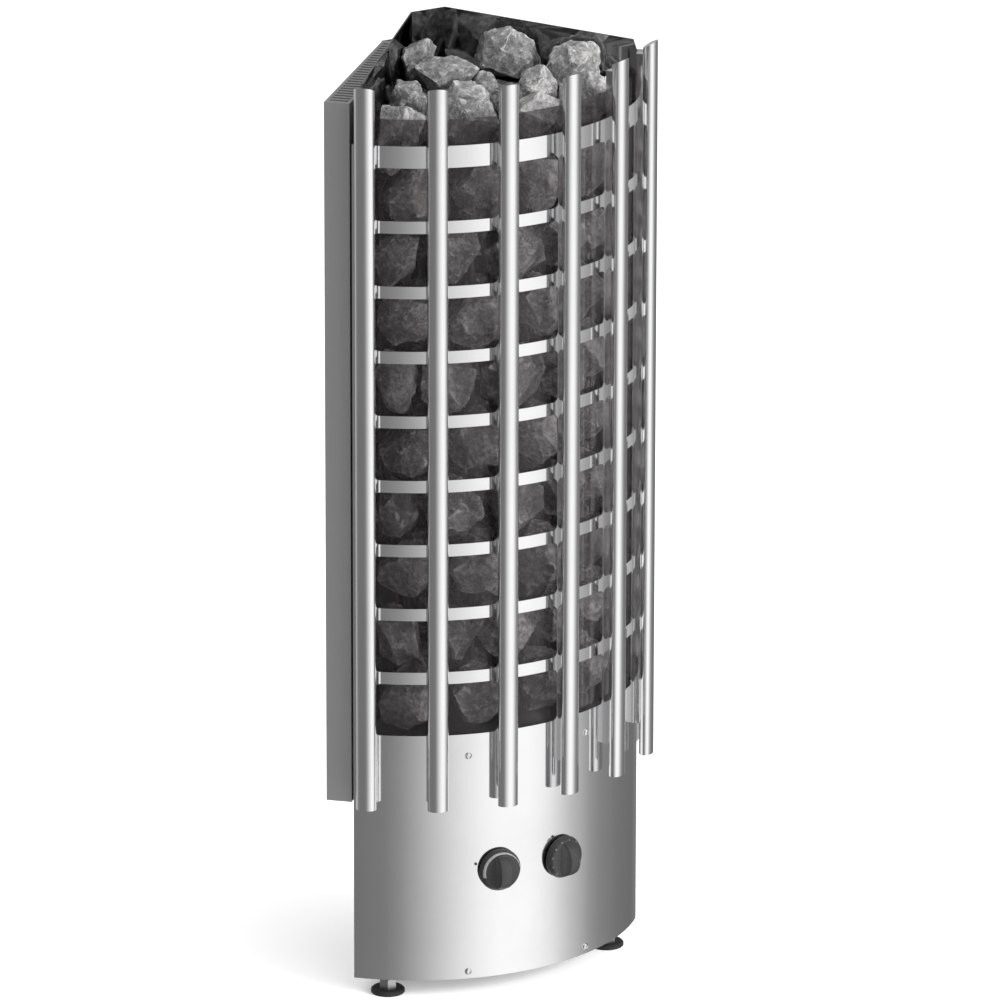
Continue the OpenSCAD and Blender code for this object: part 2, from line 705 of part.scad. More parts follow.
module reset_button() color([0.7, 0.1, 0.1])
    translate([0, limiter_y, base_bottom - button_travel - skin])
        cylinder(d = button_d, $fn = 48, h = limiter_size.z / 2 + sheet - button_travel);

module cable_gland() color([0.1, 0.1, 0.1])
    translate([0, back_y, gland_z]) rotate([-90, 0, 0])
        difference() {
            union() {
                translate([0, 0, -gland_in]) cylinder(d = gland_thread_d, h = gland_in);
                hexagon(gland_af, gland_hex_h);
                cylinder(d = gland_af - 2, h = gland_len);
            }
            translate([0, 0, -gland_in - over])
                cylinder(d = gland_bore, h = gland_in + gland_len + 2 * over, $fn = 64);
        }

module gland_nut() color([0.12, 0.12, 0.12])
    translate([0, back_y - sheet, gland_z]) rotate([90, 0, 0])
        difference() {
            hexagon(gland_af, gland_nut_h);
            translate([0, 0, -over])
                cylinder(d = gland_thread_d + 2 * foot_clear, h = gland_nut_h + 2 * over);
        }

module earth_stud() color([0.75, 0.6, 0.25])
    translate([earth_x, earth_y, base_bottom]) {
        cylinder(d = earth_d, h = earth_len, $fn = 32);
        translate([0, 0, sheet]) hexagon(earth_af, earth_nut_h);
    }

// Feet

module foot_pad() color([0.1, 0.1, 0.1])
    rotate_extrude()
        polygon([[0, 0], [pad_d / 2 - pad_edge / 2, 0], [pad_d / 2, pad_edge / 2],
                 [pad_d / 2, pad_h - pad_edge], [pad_d / 2 - pad_edge, pad_h], [0, pad_h]]);

module foot_stem() color([0.75, 0.75, 0.75])
    translate([0, 0, pad_h]) {
        hexagon(foot_hex, hex_h);
        translate([0, 0, hex_h]) cylinder(d = stud_d, h = stud_len - pad_h - hex_h, $fn = 64);
    }

module foot_nuts() color([0.7, 0.7, 0.7])
    foot_places() translate([0, 0, base_top])
        difference() {
            hexagon(nut_af, nut_h);
            translate([0, 0, -over])
                cylinder(d = stud_d + 2 * foot_clear, h = nut_h + 2 * over, $fn = 64);
        }

from_axis() front_panel();
from_axis() casing_side(-1);  // casing_side_left
from_axis() casing_side(1);  // casing_side_right
from_axis() casing_back();
from_axis() base_plate();
from_axis() cage_floor();
from_axis() smoked_glass();
from_axis() front_bar(1);  // front_bar_1
from_axis() front_bar(2);  // front_bar_2
from_axis() front_bar(3);  // front_bar_3
from_axis() front_bar(4);  // front_bar_4
from_axis() front_bar(5);  // front_bar_5
from_axis() front_bar(6);  // front_bar_6
from_axis() bar_spacers();
from_axis() bar_plugs();
from_axis() liner();
from_axis() duct(-1);  // duct_left
from_axis() duct(1);  // duct_right
from_axis() vent(-1);  // vent_left
from_axis() vent(1);  // vent_right
from_axis() duct_back_cover();
from_axis() duct_spacers();
from_axis() element(0);  // element_left
from_axis() element(1);  // element_centre
from_axis() element(2);  // element_right
from_axis() element_bushings();
from_axis() knob(timer_at);  // timer_knob
from_axis() shaft(timer_at);  // timer_shaft
from_axis() control(timer_at, [0.85, 0.85, 0.8]);  // timer_body
from_axis() knob(thermostat_at);  // thermostat_knob
from_axis() shaft(thermostat_at);  // thermostat_shaft
from_axis() control(thermostat_at, [0.8, 0.7, 0.5]);  // thermostat_body
from_axis() control_bracket();
from_axis() index_marks();
from_axis() casing_screws();
from_axis() sensor_tubes();
from_axis() sensor_clips();
from_axis() terminal_block();
from_axis() terminal_screws();
from_axis() limiter_body();
from_axis() reset_button();
from_axis() cable_gland();
from_axis() gland_nut();
from_axis() earth_stud();
from_axis() translate([-foot_x, -foot_y, 0]) foot_pad();  // foot_pad_left
from_axis() translate([foot_x, -foot_y, 0]) foot_pad();  // foot_pad_right
from_axis() translate([0, -rear_foot_y, 0]) foot_pad();  // foot_pad_rear
from_axis() translate([-foot_x, -foot_y, 0]) foot_stem();  // foot_stem_left
from_axis() translate([foot_x, -foot_y, 0]) foot_stem();  // foot_stem_right
from_axis() translate([0, -rear_foot_y, 0]) foot_stem();  // foot_stem_rear
from_axis() foot_nuts();
from_axis() stones(0, 1);  // stones_1
from_axis() stones(2, 3);  // stones_2
from_axis() stones(4, 5);  // stones_3
from_axis() stones(6, 7);  // stones_4
from_axis() stones(8, 8);  // stones_5
from_axis() stones(stone_layers, stone_layers);  // stones_top
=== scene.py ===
"""Looks of a corner tower sauna heater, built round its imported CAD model.

The CAD nodes carry every size and every joint. This script gives each of them a procedural finish,
and replaces those whose surface needs more detail: the oval front bars, the curved panel and glass,
the stones, the screws and the dials. It adds the rivets of the ducts and the marks on the dials.
"""

import json
import logging
import math
import random
from collections.abc import Callable, Iterable, Sequence
from dataclasses import dataclass
from enum import Enum

import bmesh
import bpy
from bpy.types import ID, Material, Mesh, Node, NodeSocket, NodeTree, Object
from mathutils import Matrix, Vector

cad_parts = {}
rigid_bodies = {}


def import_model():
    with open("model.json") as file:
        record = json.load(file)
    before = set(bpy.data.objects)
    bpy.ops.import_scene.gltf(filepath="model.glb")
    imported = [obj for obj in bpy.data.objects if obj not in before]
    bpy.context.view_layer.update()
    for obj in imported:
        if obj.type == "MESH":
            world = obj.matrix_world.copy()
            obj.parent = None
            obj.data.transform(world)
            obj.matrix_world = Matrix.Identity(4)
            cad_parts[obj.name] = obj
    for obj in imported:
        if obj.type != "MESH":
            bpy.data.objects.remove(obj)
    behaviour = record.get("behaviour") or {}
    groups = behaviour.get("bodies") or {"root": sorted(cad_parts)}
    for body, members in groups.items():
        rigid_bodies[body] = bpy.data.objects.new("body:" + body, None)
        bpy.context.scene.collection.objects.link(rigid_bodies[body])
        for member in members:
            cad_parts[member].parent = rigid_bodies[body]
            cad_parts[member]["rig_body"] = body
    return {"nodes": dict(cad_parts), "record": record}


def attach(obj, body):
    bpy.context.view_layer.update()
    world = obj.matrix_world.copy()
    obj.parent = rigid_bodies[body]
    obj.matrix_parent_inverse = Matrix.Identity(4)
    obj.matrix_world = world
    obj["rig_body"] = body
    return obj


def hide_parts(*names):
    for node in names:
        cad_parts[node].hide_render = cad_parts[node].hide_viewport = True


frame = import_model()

LOG = logging.getLogger("heater")
MM = 0.001
MERGE_DISTANCE = 1e-6
ROOT_BODY = "heater"

Colour = tuple[float, float, float]


class Slot(Enum):
    """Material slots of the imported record."""

    POLISHED = "polished_steel"
    DUCT = "duct_paint"
    PLAIN = "plain_steel"
    LINER = "dark_liner"
    GLASS = "smoked_glass"
    KNOB = "knob_plastic"
    RUBBER = "black_rubber"
    ELEMENT = "element_steel"
    BRASS = "brass"
    PROBE = "copper_probe"
    CERAMIC = "ceramic"
    CONTROL = "control_plastic"
    LIMITER = "limiter_plastic"
    BUTTON = "button_red"
    STONE = "stone"


@dataclass(frozen=True)
class HeaterSizes:
    """Sizes that the looks share with the CAD source, in metres and radians."""

    axis_y: float = 62 * MM
    casing_r: float = 241 * MM
    bar_r: float = 255.7 * MM
    bar_w: float = 22 * MM
    bar_d: float = 15 * MM
    bar_wall: float = 1.5 * MM
    bar_bottom: float = 218 * MM
    bar_top: float = 1007 * MM
    bar_slope: float = math.radians(28)
    bar_pitch: float = math.radians(17)
    bar_edge: float = 0.5 * MM
    knob_z: float = 142 * MM
    knob_gap: float = 1 * MM
    knob_d: float = 46 * MM
    knob_edge: float = 1.2 * MM
    knob_foot: float = 3 * MM
    knob_face: float = 9 * MM
    timer_at: float = math.radians(-9.5)
    thermostat_at: float = math.radians(8.9)
    screw_at: float = math.radians(17.5)
    screw_rows: tuple[float, float] = (30 * MM, 272 * MM)
    screw_d: float = 4 * MM
    screw_head_d: float = 7.5 * MM
    screw_head_h: float = 2.4 * MM
    screw_len: float = 9 * MM
    glass_in: float = 234.9 * MM
    glass_top: float = 967 * MM
    # Heights over which the glass darkens into its top band of painted shade.
    glass_shade_band: tuple[float, float] = (920 * MM, 935 * MM)
    liner_inset: float = 4.2 * MM
    stone_gap: float = 0.4 * MM
    duct_out: float = 36.6 * MM
    duct_length: float = 238 * MM
    duct_top: float = 982 * MM
    duct_turn: float = math.radians(45)


SIZES = HeaterSizes()


# Node trees


class NodeGraph:
    """Adds nodes to a node tree and links them, laid out from left to right."""

    STEP = (220, -240)
    PER_ROW = 12
    # A colour mix node's inputs for the factor and the two colours, and its colour output.
    MIX_INPUTS = (0, 6, 7)
    MIX_OUTPUT = 2

    def __init__(self, tree: NodeTree) -> None:
        """Starts on an empty shader or geometry tree."""
        self.tree = tree
        self._count = 0

    def fill(self, node: Node, values: dict) -> None:
        """Sets a node's inputs.

        Args:
            node: The node.
            values: A value, or a socket to link, for each input's name or number.
        """
        for name, value in values.items():
            if isinstance(value, NodeSocket):
                self.tree.links.new(value, node.inputs[name])
            else:
                node.inputs[name].default_value = value

    def add(self, kind: str, values: dict | None = None, **settings: object) -> Node:
        """Adds one node.

        Args:
            kind: The node's type name.
            values: Values or sockets by the input's name or number.
            settings: Properties of the node.

        Returns:
            The new node.
        """
        node = self.tree.nodes.new(kind)
        row, column = divmod(self._count, self.PER_ROW)
        node.location = (self.STEP[0] * column, self.STEP[1] * row)
        self._count += 1
        for name, value in settings.items():
            setattr(node, name, value)
        self.fill(node, values or {})
        return node

    def math(self, operation: str, a: object, b: object = 0.0) -> NodeSocket:
        """Adds a math node and gives its result's socket."""
        return self.add("ShaderNodeMath", {0: a, 1: b}, operation=operation).outputs[0]

    def remap(self, value: object, low: float, high: float, to_low: float = 0.0,
              to_high: float = 1.0) -> NodeSocket:
        """Adds a clamped map range node and gives its result's socket."""
        values = {0: value, 1: low, 2: high, 3: to_low, 4: to_high}
        return self.add("ShaderNodeMapRange", values).outputs[0]

    def noise(self, place: NodeSocket, scale: object, detail: float, roughness: float = 0.5,
              distortion: float = 0.0) -> NodeSocket:
        """Adds a noise node and gives the socket of its value."""
        values = {"Vector": place, "Scale": scale, "Detail": detail, "Roughness": roughness,
                  "Distortion": distortion}
        return self.add("ShaderNodeTexNoise", values).outputs["Fac"]

    def ramp(self, value: object, stops: Sequence[tuple[float, Sequence[float]]]) -> NodeSocket:
        """Adds a colour ramp.

        Args:
            value: The factor or its socket.
            stops: Pairs of position and colour.

        Returns:
            The colour socket.
        """
        node = self.add("ShaderNodeValToRGB", {0: value})
        band = node.color_ramp.elements
        while len(band) < len(stops):
            band.new(0.5)
        for element, (place, colour) in zip(band, stops):
            element.position = place
            element.color = (*colour[:3], 1.0)
        return node.outputs[0]

    def mix(self, factor: object, a: object, b: object) -> NodeSocket:
        """Adds a colour mix node.

        Args:
            factor: Share of b, or its socket.
            a: First colour or socket.
            b: Second colour or socket.

        Returns:
            The result's socket.
        """
        colours = [c if isinstance(c, NodeSocket) else (*c[:3], 1.0) for c in (a, b)]
        node = self.add("ShaderNodeMix", dict(zip(self.MIX_INPUTS, (factor, *colours))),
                        data_type="RGBA")
        return node.outputs[self.MIX_OUTPUT]

    def end_geometry(self, shape: NodeSocket, source: Node, out: Node) -> None:
        """Ends a geometry tree: instances are made real and take the group's material.

        Args:
            shape: The geometry.
            source: The group's input node.
            out: The group's output node.
        """
        real = self.add("GeometryNodeRealizeInstances", {0: shape})
        coated = self.add("GeometryNodeSetMaterial",
                          {"Geometry": real.outputs[0], "Material": source.outputs["Material"]})
        self.fill(out, {"Geometry": coated.outputs[0]})


def new_group(name: str, kind: str, inputs: dict[str, object], outputs: dict[str, str]) -> tuple:
    """Makes a node group with named sockets.

    Args:
        name: The group's name.
        kind: ShaderNodeTree or GeometryNodeTree.
        inputs: Default value, or socket type where it has none, by name.
        outputs: NodeSocket type by name.

    Returns:
        The group, its graph, the group input node and the group output node.
    """
    group = bpy.data.node_groups.new(name, kind)
    socket_types = {float: "NodeSocketFloat", int: "NodeSocketInt"}
    for label, value in inputs.items():
        bare = isinstance(value, str)
        made = group.interface.new_socket(name=label, in_out="INPUT",
                                          socket_type=value if bare else socket_types[type(value)])
        if not bare:
            made.default_value = value
    for label, socket in outputs.items():
        group.interface.new_socket(name=label, in_out="OUTPUT", socket_type=socket)
    graph = NodeGraph(group)
    return group, graph, graph.add("NodeGroupInput"), graph.add("NodeGroupOutput")


class EffectGroups:
    """Effect groups that several materials share. They give values, colours and normals only."""

    def __init__(self) -> None:
        """Builds the three groups."""
        self.smudges = self._smudges()
        self.grain = self._relief("Fine grain", 900.0, (1.0, 1.0, 1.0), 3.0, 0.6, 0.2 * MM)
        self.brushing = self._relief("Upright polishing lines", 2600.0, (1.0, 1.0, 0.012), 2.0,
                                     0.7, 0.05 * MM)

    @staticmethod
    def _smudges() -> NodeTree:
        """Faint handling marks and dust.

        Returns:
            A group that turns a roughness into one that varies over the surface.
        """
        group, g, source, out = new_group(
            "Smudges", "ShaderNodeTree", {"Scale": 9.0, "Base": 0.2, "Amount": 0.05},
            {"Roughness": "NodeSocketFloat", "Mask": "NodeSocketFloat"})
        place = g.add("ShaderNodeTexCoord").outputs["Object"]
        mask = g.remap(g.noise(place, source.outputs["Scale"], 5.0, 0.62, 0.4), 0.42, 0.68)
        rough = g.math("MULTIPLY", mask, source.outputs["Amount"])
        g.fill(out, {"Roughness": g.math("ADD", rough, source.outputs["Base"]), "Mask": mask})
        return group

    @staticmethod
    def _relief(name: str, scale: float, stretch: Colour, detail: float, roughness: float,
                distance: float) -> NodeTree:
        """Fine random relief, in grains or in drawn lines.

        Args:
            name: The group's name.
            scale: The scale that it has where a material sets none.
            stretch: Scale of the pattern's place along the three axes.
            detail: The noise's number of octaves.
            roughness: How strong its fine octaves are.
            distance: The relief's height, in metres.

        Returns:
            A group that gives a bump normal and the pattern's value.
        """
        group, g, source, out = new_group(
            name, "ShaderNodeTree", {"Scale": scale, "Depth": 0.1},
            {"Normal": "NodeSocketVector", "Value": "NodeSocketFloat"})
        place = g.add("ShaderNodeTexCoord").outputs["Object"]
        drawn = g.add("ShaderNodeMapping", {"Vector": place, "Scale": stretch})
        value = g.noise(drawn.outputs[0], source.outputs["Scale"], detail, roughness)
        bump = g.add("ShaderNodeBump", {"Strength": source.outputs["Depth"], "Distance": distance,
                                        "Height": value})
        g.fill(out, {"Normal": bump.outputs[0], "Value": value})
        return group


# Finishes


@dataclass(frozen=True)
class MetalFinish:
    """A bare or plated metal. Dust dulls it by dust_share, towards dust_tone of its colour."""

    name: str
    colour: Colour
    roughness: float
    smudge: float = 0.05
    lines: float = 0.0
    dust_share: float = 0.25
    dust_tone: float = 0.82


@dataclass(frozen=True)
class MouldedFinish:
    """Paint, plastic, rubber or ceramic."""

    name: str
    colour: Colour
    roughness: float
    grain_scale: float = 1400.0
    grain_depth: float = 0.15
    coat: float = 0.0
    tint: float = 0.12
    smudge: float = 0.08


@dataclass(frozen=True)
class RockFinish:
    """Split grey rock. The tones go from the darkest to the lightest."""

    name: str
    tones: tuple[Colour, ...]
    steps: tuple[float, ...]
    fleck: Colour
    rust: Colour


METALS = {
    Slot.POLISHED: MetalFinish("Polished steel", (0.90, 0.90, 0.905), 0.075, 0.05, 0.03),
    Slot.PLAIN: MetalFinish("Plain steel", (0.55, 0.55, 0.56), 0.38, 0.12, 0.05),
    Slot.LINER: MetalFinish("Dark liner sheet", (0.34, 0.335, 0.34), 0.05, 0.06, 0.02),
    Slot.ELEMENT: MetalFinish("Heat-tinted tube", (0.30, 0.27, 0.24), 0.42, 0.15),
    Slot.BRASS: MetalFinish("Brass", (0.72, 0.52, 0.22), 0.28, 0.10),
    Slot.PROBE: MetalFinish("Copper probe", (0.70, 0.36, 0.22), 0.30, 0.12),
}
MOULDED = {
    Slot.DUCT: MouldedFinish("Duct paint", (0.155, 0.155, 0.158), 0.55, 1500.0, 0.08),
    Slot.KNOB: MouldedFinish("Dial plastic", (0.022, 0.022, 0.023), 0.36, 1800.0, 0.12),
    Slot.RUBBER: MouldedFinish("Foot rubber", (0.015, 0.015, 0.015), 0.62, 1100.0, 0.25),
    Slot.CERAMIC: MouldedFinish("Steatite", (0.78, 0.75, 0.66), 0.30, 700.0, 0.10, 0.2),
    Slot.CONTROL: MouldedFinish("Control body plastic", (0.62, 0.56, 0.42), 0.45),
    Slot.LIMITER: MouldedFinish("Black moulding", (0.02, 0.02, 0.02), 0.45),
    Slot.BUTTON: MouldedFinish("Reset button plastic", (0.45, 0.02, 0.015), 0.25, coat=0.4),
}
ROCK = RockFinish(
    "Split rock",
    ((0.045, 0.045, 0.045), (0.10, 0.10, 0.099), (0.165, 0.164, 0.162), (0.34, 0.338, 0.333)),
    (0.28, 0.42, 0.54, 0.72), (0.52, 0.515, 0.505), (0.17, 0.15, 0.13))
MARK = MouldedFinish("Dial marking", (0.17, 0.17, 0.168), 0.5, 260.0, 0.2, tint=0.6)
FAINT_MARK = MouldedFinish("Worn dial marking", (0.085, 0.085, 0.084), 0.5)


@dataclass(frozen=True)
class GlassFinish:
    """Smoked glass: the pane's tint, a darker top band of painted shade, its gloss and its haze."""

    name: str = "Smoked glass"
    pane: Colour = (0.815, 0.805, 0.81)
    # The top band's darker tint is painted shade, for the stones behind it in shadow.
    shade_band: Colour = (0.60, 0.585, 0.59)
    ior: float = 1.45
    gloss_share: float = 0.28
    smudge: float = 0.015
    haze: Colour = (0.46, 0.42, 0.43)
    haze_share: float = 0.014


class MaterialLibrary:
    """Builds each finish once and hands it out by slot."""

    def __init__(self) -> None:
        """Builds the shared effects and every material."""
        self.effects = EffectGroups()
        self._made: dict[Slot, Material] = {}
        for slot, finish in METALS.items():
            self._made[slot] = self._metal(finish)
        for slot, finish in MOULDED.items():
            self._made[slot] = self._moulded(finish)
        self._made[Slot.STONE] = self._rock(ROCK)
        self._made[Slot.GLASS] = self._smoked_glass(GlassFinish())
        self.mark = self._moulded(MARK)
        self.faint_mark = self._moulded(FAINT_MARK)

    def of(self, slot: Slot) -> Material:
        """Finds a slot's material."""
        return self._made[slot]

    @staticmethod
    def _start(name: str, shader_kind: str) -> tuple[Material, NodeGraph, Node]:
        """Makes a material with one shader at its output.

        Args:
            name: The material's name.
            shader_kind: The shader node's type name.

        Returns:
            The material, its graph and its shader node.
        """
        material = bpy.data.materials.new(name)
        material.use_nodes = True
        material.node_tree.nodes.clear()
        graph = NodeGraph(material.node_tree)
        shader = graph.add(shader_kind)
        graph.add("ShaderNodeOutputMaterial", {"Surface": shader.outputs[0]})
        return material, graph, shader

    def _smudged(self, g: NodeGraph, base: float, amount: float) -> Node:
        """Adds the smudges, over a clean roughness, and gives their node."""
        return g.add("ShaderNodeGroup", {"Base": base, "Amount": amount},
                     node_tree=self.effects.smudges)

    def _metal(self, finish: MetalFinish) -> Material:
        """Builds a metal.

        Args:
            finish: Its values.

        Returns:
            The material.
        """
        material, g, shader = self._start(finish.name, "ShaderNodeBsdfPrincipled")
        smudge = self._smudged(g, finish.roughness, finish.smudge)
        dust = g.math("MULTIPLY", smudge.outputs["Mask"], finish.dust_share)
        g.fill(shader, {
            "Base Color": g.mix(dust, finish.colour, [c * finish.dust_tone for c in finish.colour]),
            "Roughness": smudge.outputs["Roughness"], "Metallic": 1.0})
        if finish.lines:
            lines = g.add("ShaderNodeGroup", {"Depth": finish.lines}, node_tree=self.effects.brushing)
            g.fill(shader, {"Normal": lines.outputs["Normal"]})
        return material

    def _moulded(self, finish: MouldedFinish) -> Material:
        """Builds paint, plastic, rubber or ceramic.

        Args:
            finish: Its values.

        Returns:
            The material.
        """
        material, g, shader = self._start(finish.name, "ShaderNodeBsdfPrincipled")
        grain = g.add("ShaderNodeGroup", {"Scale": finish.grain_scale, "Depth": finish.grain_depth},
                      node_tree=self.effects.grain)
        smudge = self._smudged(g, finish.roughness, finish.smudge)
        deep, pale = ([min(1.0, c * (1 + way * finish.tint)) for c in finish.colour]
                      for way in (-1, 1))
        g.fill(shader, {"Base Color": g.mix(grain.outputs["Value"], deep, pale),
                        "Normal": grain.outputs["Normal"], "Coat Weight": finish.coat,
                        "Roughness": smudge.outputs["Roughness"]})
        return material

    def _rock(self, finish: RockFinish) -> Material:
        """Builds the stones' material: veined tones, pale flecks, painted highlights on the edges, a
        little rust.

        Args:
            finish: Its colours.

        Returns:
            The material.
        """
        material, g, shader = self._start(finish.name, "ShaderNodeBsdfPrincipled")
        place = g.add("ShaderNodeTexCoord").outputs["Object"]
        tone = g.add("ShaderNodeAttribute", attribute_name="stone_tone").outputs["Fac"]
        own = g.add("ShaderNodeCombineXYZ", {0: tone, 1: g.math("MULTIPLY", tone, 3.1)}).outputs[0]
        shifted = g.add("ShaderNodeVectorMath", {0: place, 1: own}, operation="ADD").outputs[0]
        broad = g.noise(shifted, 30.0, 7.0, 0.66, 0.8)
        fine = g.noise(place, 520.0, 3.0, 0.75)
        veins = g.noise(place, 170.0, 6.0, 0.85)
        ridges = g.noise(place, 120.0, 8.0, 0.72)
        stain = g.noise(place, 11.0, 3.0)
        cells = g.add("ShaderNodeTexVoronoi", {"Vector": place, "Scale": 560.0}).outputs["Distance"]
        # Painted highlight: convex edges, found by the mesh's pointiness, are lightened.
        edge = g.add("ShaderNodeNewGeometry").outputs["Pointiness"]
        level = g.math("MULTIPLY", broad, 0.48)
        for part in (g.remap(fine, 0.30, 0.70, to_high=0.16), g.remap(veins, 0.32, 0.68, to_high=0.32),
                     g.remap(tone, 0.0, 1.0, -0.08, 0.08), g.remap(edge, 0.503, 0.57, to_high=0.34)):
            level = g.math("ADD", level, part)
        colour = g.ramp(level, list(zip(finish.steps, finish.tones)))
        fleck = g.math("MULTIPLY", g.remap(cells, 0.30, 0.12), g.remap(broad, 0.45, 0.60, to_high=0.55))
        colour = g.mix(fleck, colour, finish.fleck)
        colour = g.mix(g.remap(stain, 0.62, 0.78, to_high=0.25), colour, finish.rust)
        height = g.math("ADD", ridges, g.math("MULTIPLY", fine, 0.45))
        bump = g.add("ShaderNodeBump", {"Strength": 0.9, "Distance": 0.0018, "Height": height})
        g.fill(shader, {"Base Color": colour, "Roughness": g.remap(fine, 0.30, 0.70, 0.95, 0.70),
                        "Normal": bump.outputs[0]})
        return material

    def _smoked_glass(self, finish: GlassFinish) -> Material:
        """Builds the smoked glass: a dark see-through sheet with a clear gloss, and painted shade at
        its top.

        Args:
            finish: Its values.

        Returns:
            The material.
        """
        material, g, mixed = self._start(finish.name, "ShaderNodeMixShader")
        place = g.add("ShaderNodeTexCoord").outputs["Object"]
        height = g.add("ShaderNodeSeparateXYZ", {0: place}).outputs[2]
        # Painted shade: above the band's heights the glass lets less through, for the shaded stones
        # behind.
        smoke_and_shade = g.mix(g.remap(height, *SIZES.glass_shade_band), finish.pane, finish.shade_band)
        tint = g.add("ShaderNodeBsdfTransparent", {"Color": smoke_and_shade})
        haze = g.add("ShaderNodeBsdfDiffuse", {"Color": (*finish.haze, 1.0)})
        clear = g.add("ShaderNodeMixShader",
                      {0: finish.haze_share, 1: tint.outputs[0], 2: haze.outputs[0]})
        smudge = self._smudged(g, 0.0, finish.smudge)
        gloss = g.add("ShaderNodeBsdfGlossy", {"Color": (1.0, 1.0, 1.0, 1.0),
                                               "Roughness": smudge.outputs["Roughness"]})
        fresnel = g.add("ShaderNodeFresnel", {"IOR": finish.ior}).outputs[0]
        g.fill(mixed, {0: g.math("MULTIPLY", fresnel, finish.gloss_share), 1: clear.outputs[0],
                       2: gloss.outputs[0]})
        return material


# Meshes


def linked(name: str, data: ID) -> Object:
    """Makes an object and links it to the scene.

    Args:
        name: The object's name.
        data: Its mesh, light or camera.

    Returns:
        The object.
    """
    obj = bpy.data.objects.new(name, data)
    bpy.context.scene.collection.objects.link(obj)
    return obj


def mesh_object(name: str, points: Iterable, faces: Iterable,
                material: Material) -> Object:
    """Makes a linked mesh object.

    Args:
        name: The object's name.
        points: Its vertices, in metres.
        faces: Its faces as lists of vertex numbers.
        material: Its material.

    Returns:
        The object.
    """
    mesh = bpy.data.meshes.new(name)
    mesh.from_pydata([tuple(p) for p in points], [], [tuple(f) for f in faces])
    mesh.validate()
    mesh.materials.append(material)
    return linked(name, mesh)


def close_outward(mesh: Mesh) -> None:
    """Turns every face of a closed mesh outward.

    Args:
        mesh: The mesh to change.
    """
    work = bmesh.new()
    work.from_mesh(mesh)
    bmesh.ops.recalc_face_normals(work, faces=work.faces)
    work.to_mesh(mesh)
    work.free()


def smooth_by_angle(mesh: Mesh, degrees: float) -> None:
    """Shades a mesh smooth, with sharp edges where it turns by more than an angle."""
    mesh.shade_smooth()
    mesh.set_sharp_from_angle(angle=math.radians(degrees))


def round_ring(radius: float, height: float, sides: int) -> list[Vector]:
    """Makes a level ring of points about the Z axis."""
    turns = (2 * math.pi * k / sides for k in range(sides))
    return [Vector((radius * math.cos(a), radius * math.sin(a), height)) for a in turns]


def closed_loft(name: str, rings: Sequence[Sequence[Vector]], tips: Sequence[Vector],
                material: Material, smooth_degrees: float) -> Object:
    """Joins rings of points into a closed shape, with a fan of faces at each end.

    Args:
        name: The object's name.
        rings: The rings, each with the same number of points.
        tips: The middle of the first ring's fan and of the last one's.
        material: Its material.
        smooth_degrees: The largest smooth angle.

    Returns:
        The object.
    """
    n, last = len(rings[0]), len(rings) - 1
    points = [p for ring in rings for p in ring] + list(tips)
    faces = [(j * n + k, j * n + (k + 1) % n, (j + 1) * n + (k + 1) % n, (j + 1) * n + k)
             for j in range(last) for k in range(n)]
    for tip, start in enumerate((0, last * n)):
        faces += [(start + k, start + (k + 1) % n, len(rings) * n + tip) for k in range(n)]
    obj = mesh_object(name, points, faces, material)
    close_outward(obj.data)
    smooth_by_angle(obj.data, smooth_degrees)
    return obj


def coat(mesh: Mesh, material: Material) -> None:
    """Gives a whole mesh one material.

    Args:
        mesh: The mesh to change.
        material: The material.
    """
    mesh.materials.clear()
    mesh.materials.append(material)
    for polygon in mesh.polygons:
        polygon.material_index = 0


def copy_of_node(node: str, name: str, material: Material) -> Object:
    """Copies a CAD node's mesh into a new piece, with its doubled vertices joined.

    Args:
        node: The CAD node.
        name: The new piece's name.
        material: Its material.

    Returns:
        The new object.
    """
    mesh = frame["nodes"][node].data.copy()
    mesh.name = name
    work = bmesh.new()
    work.from_mesh(mesh)
    bmesh.ops.remove_doubles(work, verts=work.verts, dist=MERGE_DISTANCE)
    work.to_mesh(mesh)
    work.free()
    coat(mesh, material)
    return linked(name, mesh)


def on_front(angle: float, height: float, radius: float) -> Matrix:
    """Gives a frame on the curved front, with Z pointing out and Y up."""
    return (Matrix.Translation((0, SIZES.axis_y, 0)) @ Matrix.Rotation(angle, 4, "Z")
            @ Matrix.Translation((0, -radius, height)) @ Matrix.Rotation(math.pi / 2, 4, "X"))


def bake(obj: Object) -> None:
    """Applies an object's modifiers by making a new mesh from the evaluated object.

    Args:
        obj: The object.
    """
    bpy.context.view_layer.update()
    graph = bpy.context.evaluated_depsgraph_get()
    mesh = bpy.data.meshes.new_from_object(obj.evaluated_get(graph), depsgraph=graph)
    obj.modifiers.clear()
    obj.data = mesh


def use_nodes_modifier(obj: Object, group: NodeTree, values: dict) -> None:
    """Adds a geometry nodes modifier and sets its named inputs.

    Args:
        obj: The object.
        group: The geometry group.
        values: Input values by name.
    """
    modifier = obj.modifiers.new(group.name, "NODES")
    modifier.node_group = group
    names = {item.name: item.identifier for item in group.interface.items_tree
             if item.item_type == "SOCKET" and item.in_out == "INPUT"}
    for name, value in values.items():
        modifier[names[name]] = value


def finish_piece(obj: Object, body: str, slot: Slot | None,
                 *nodes: str) -> None:
    """Hands a finished piece to the frame and reports it.

    Args:
        obj: The piece, at the origin.
        body: The CAD body that it rides on.
        slot: The record's material slot, or None for print on another piece. It is not used.
        nodes: The CAD nodes that it stands for.
    """
    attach(obj, body)
    if nodes:
        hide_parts(*nodes)
    LOG.info("%s rides on %s and has %d faces", obj.name, body, len(obj.data.polygons))


def body_of_node(node: str) -> str:
    """Finds the body of a CAD node."""
    return frame["nodes"][node]["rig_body"]


# Sub-assemblies


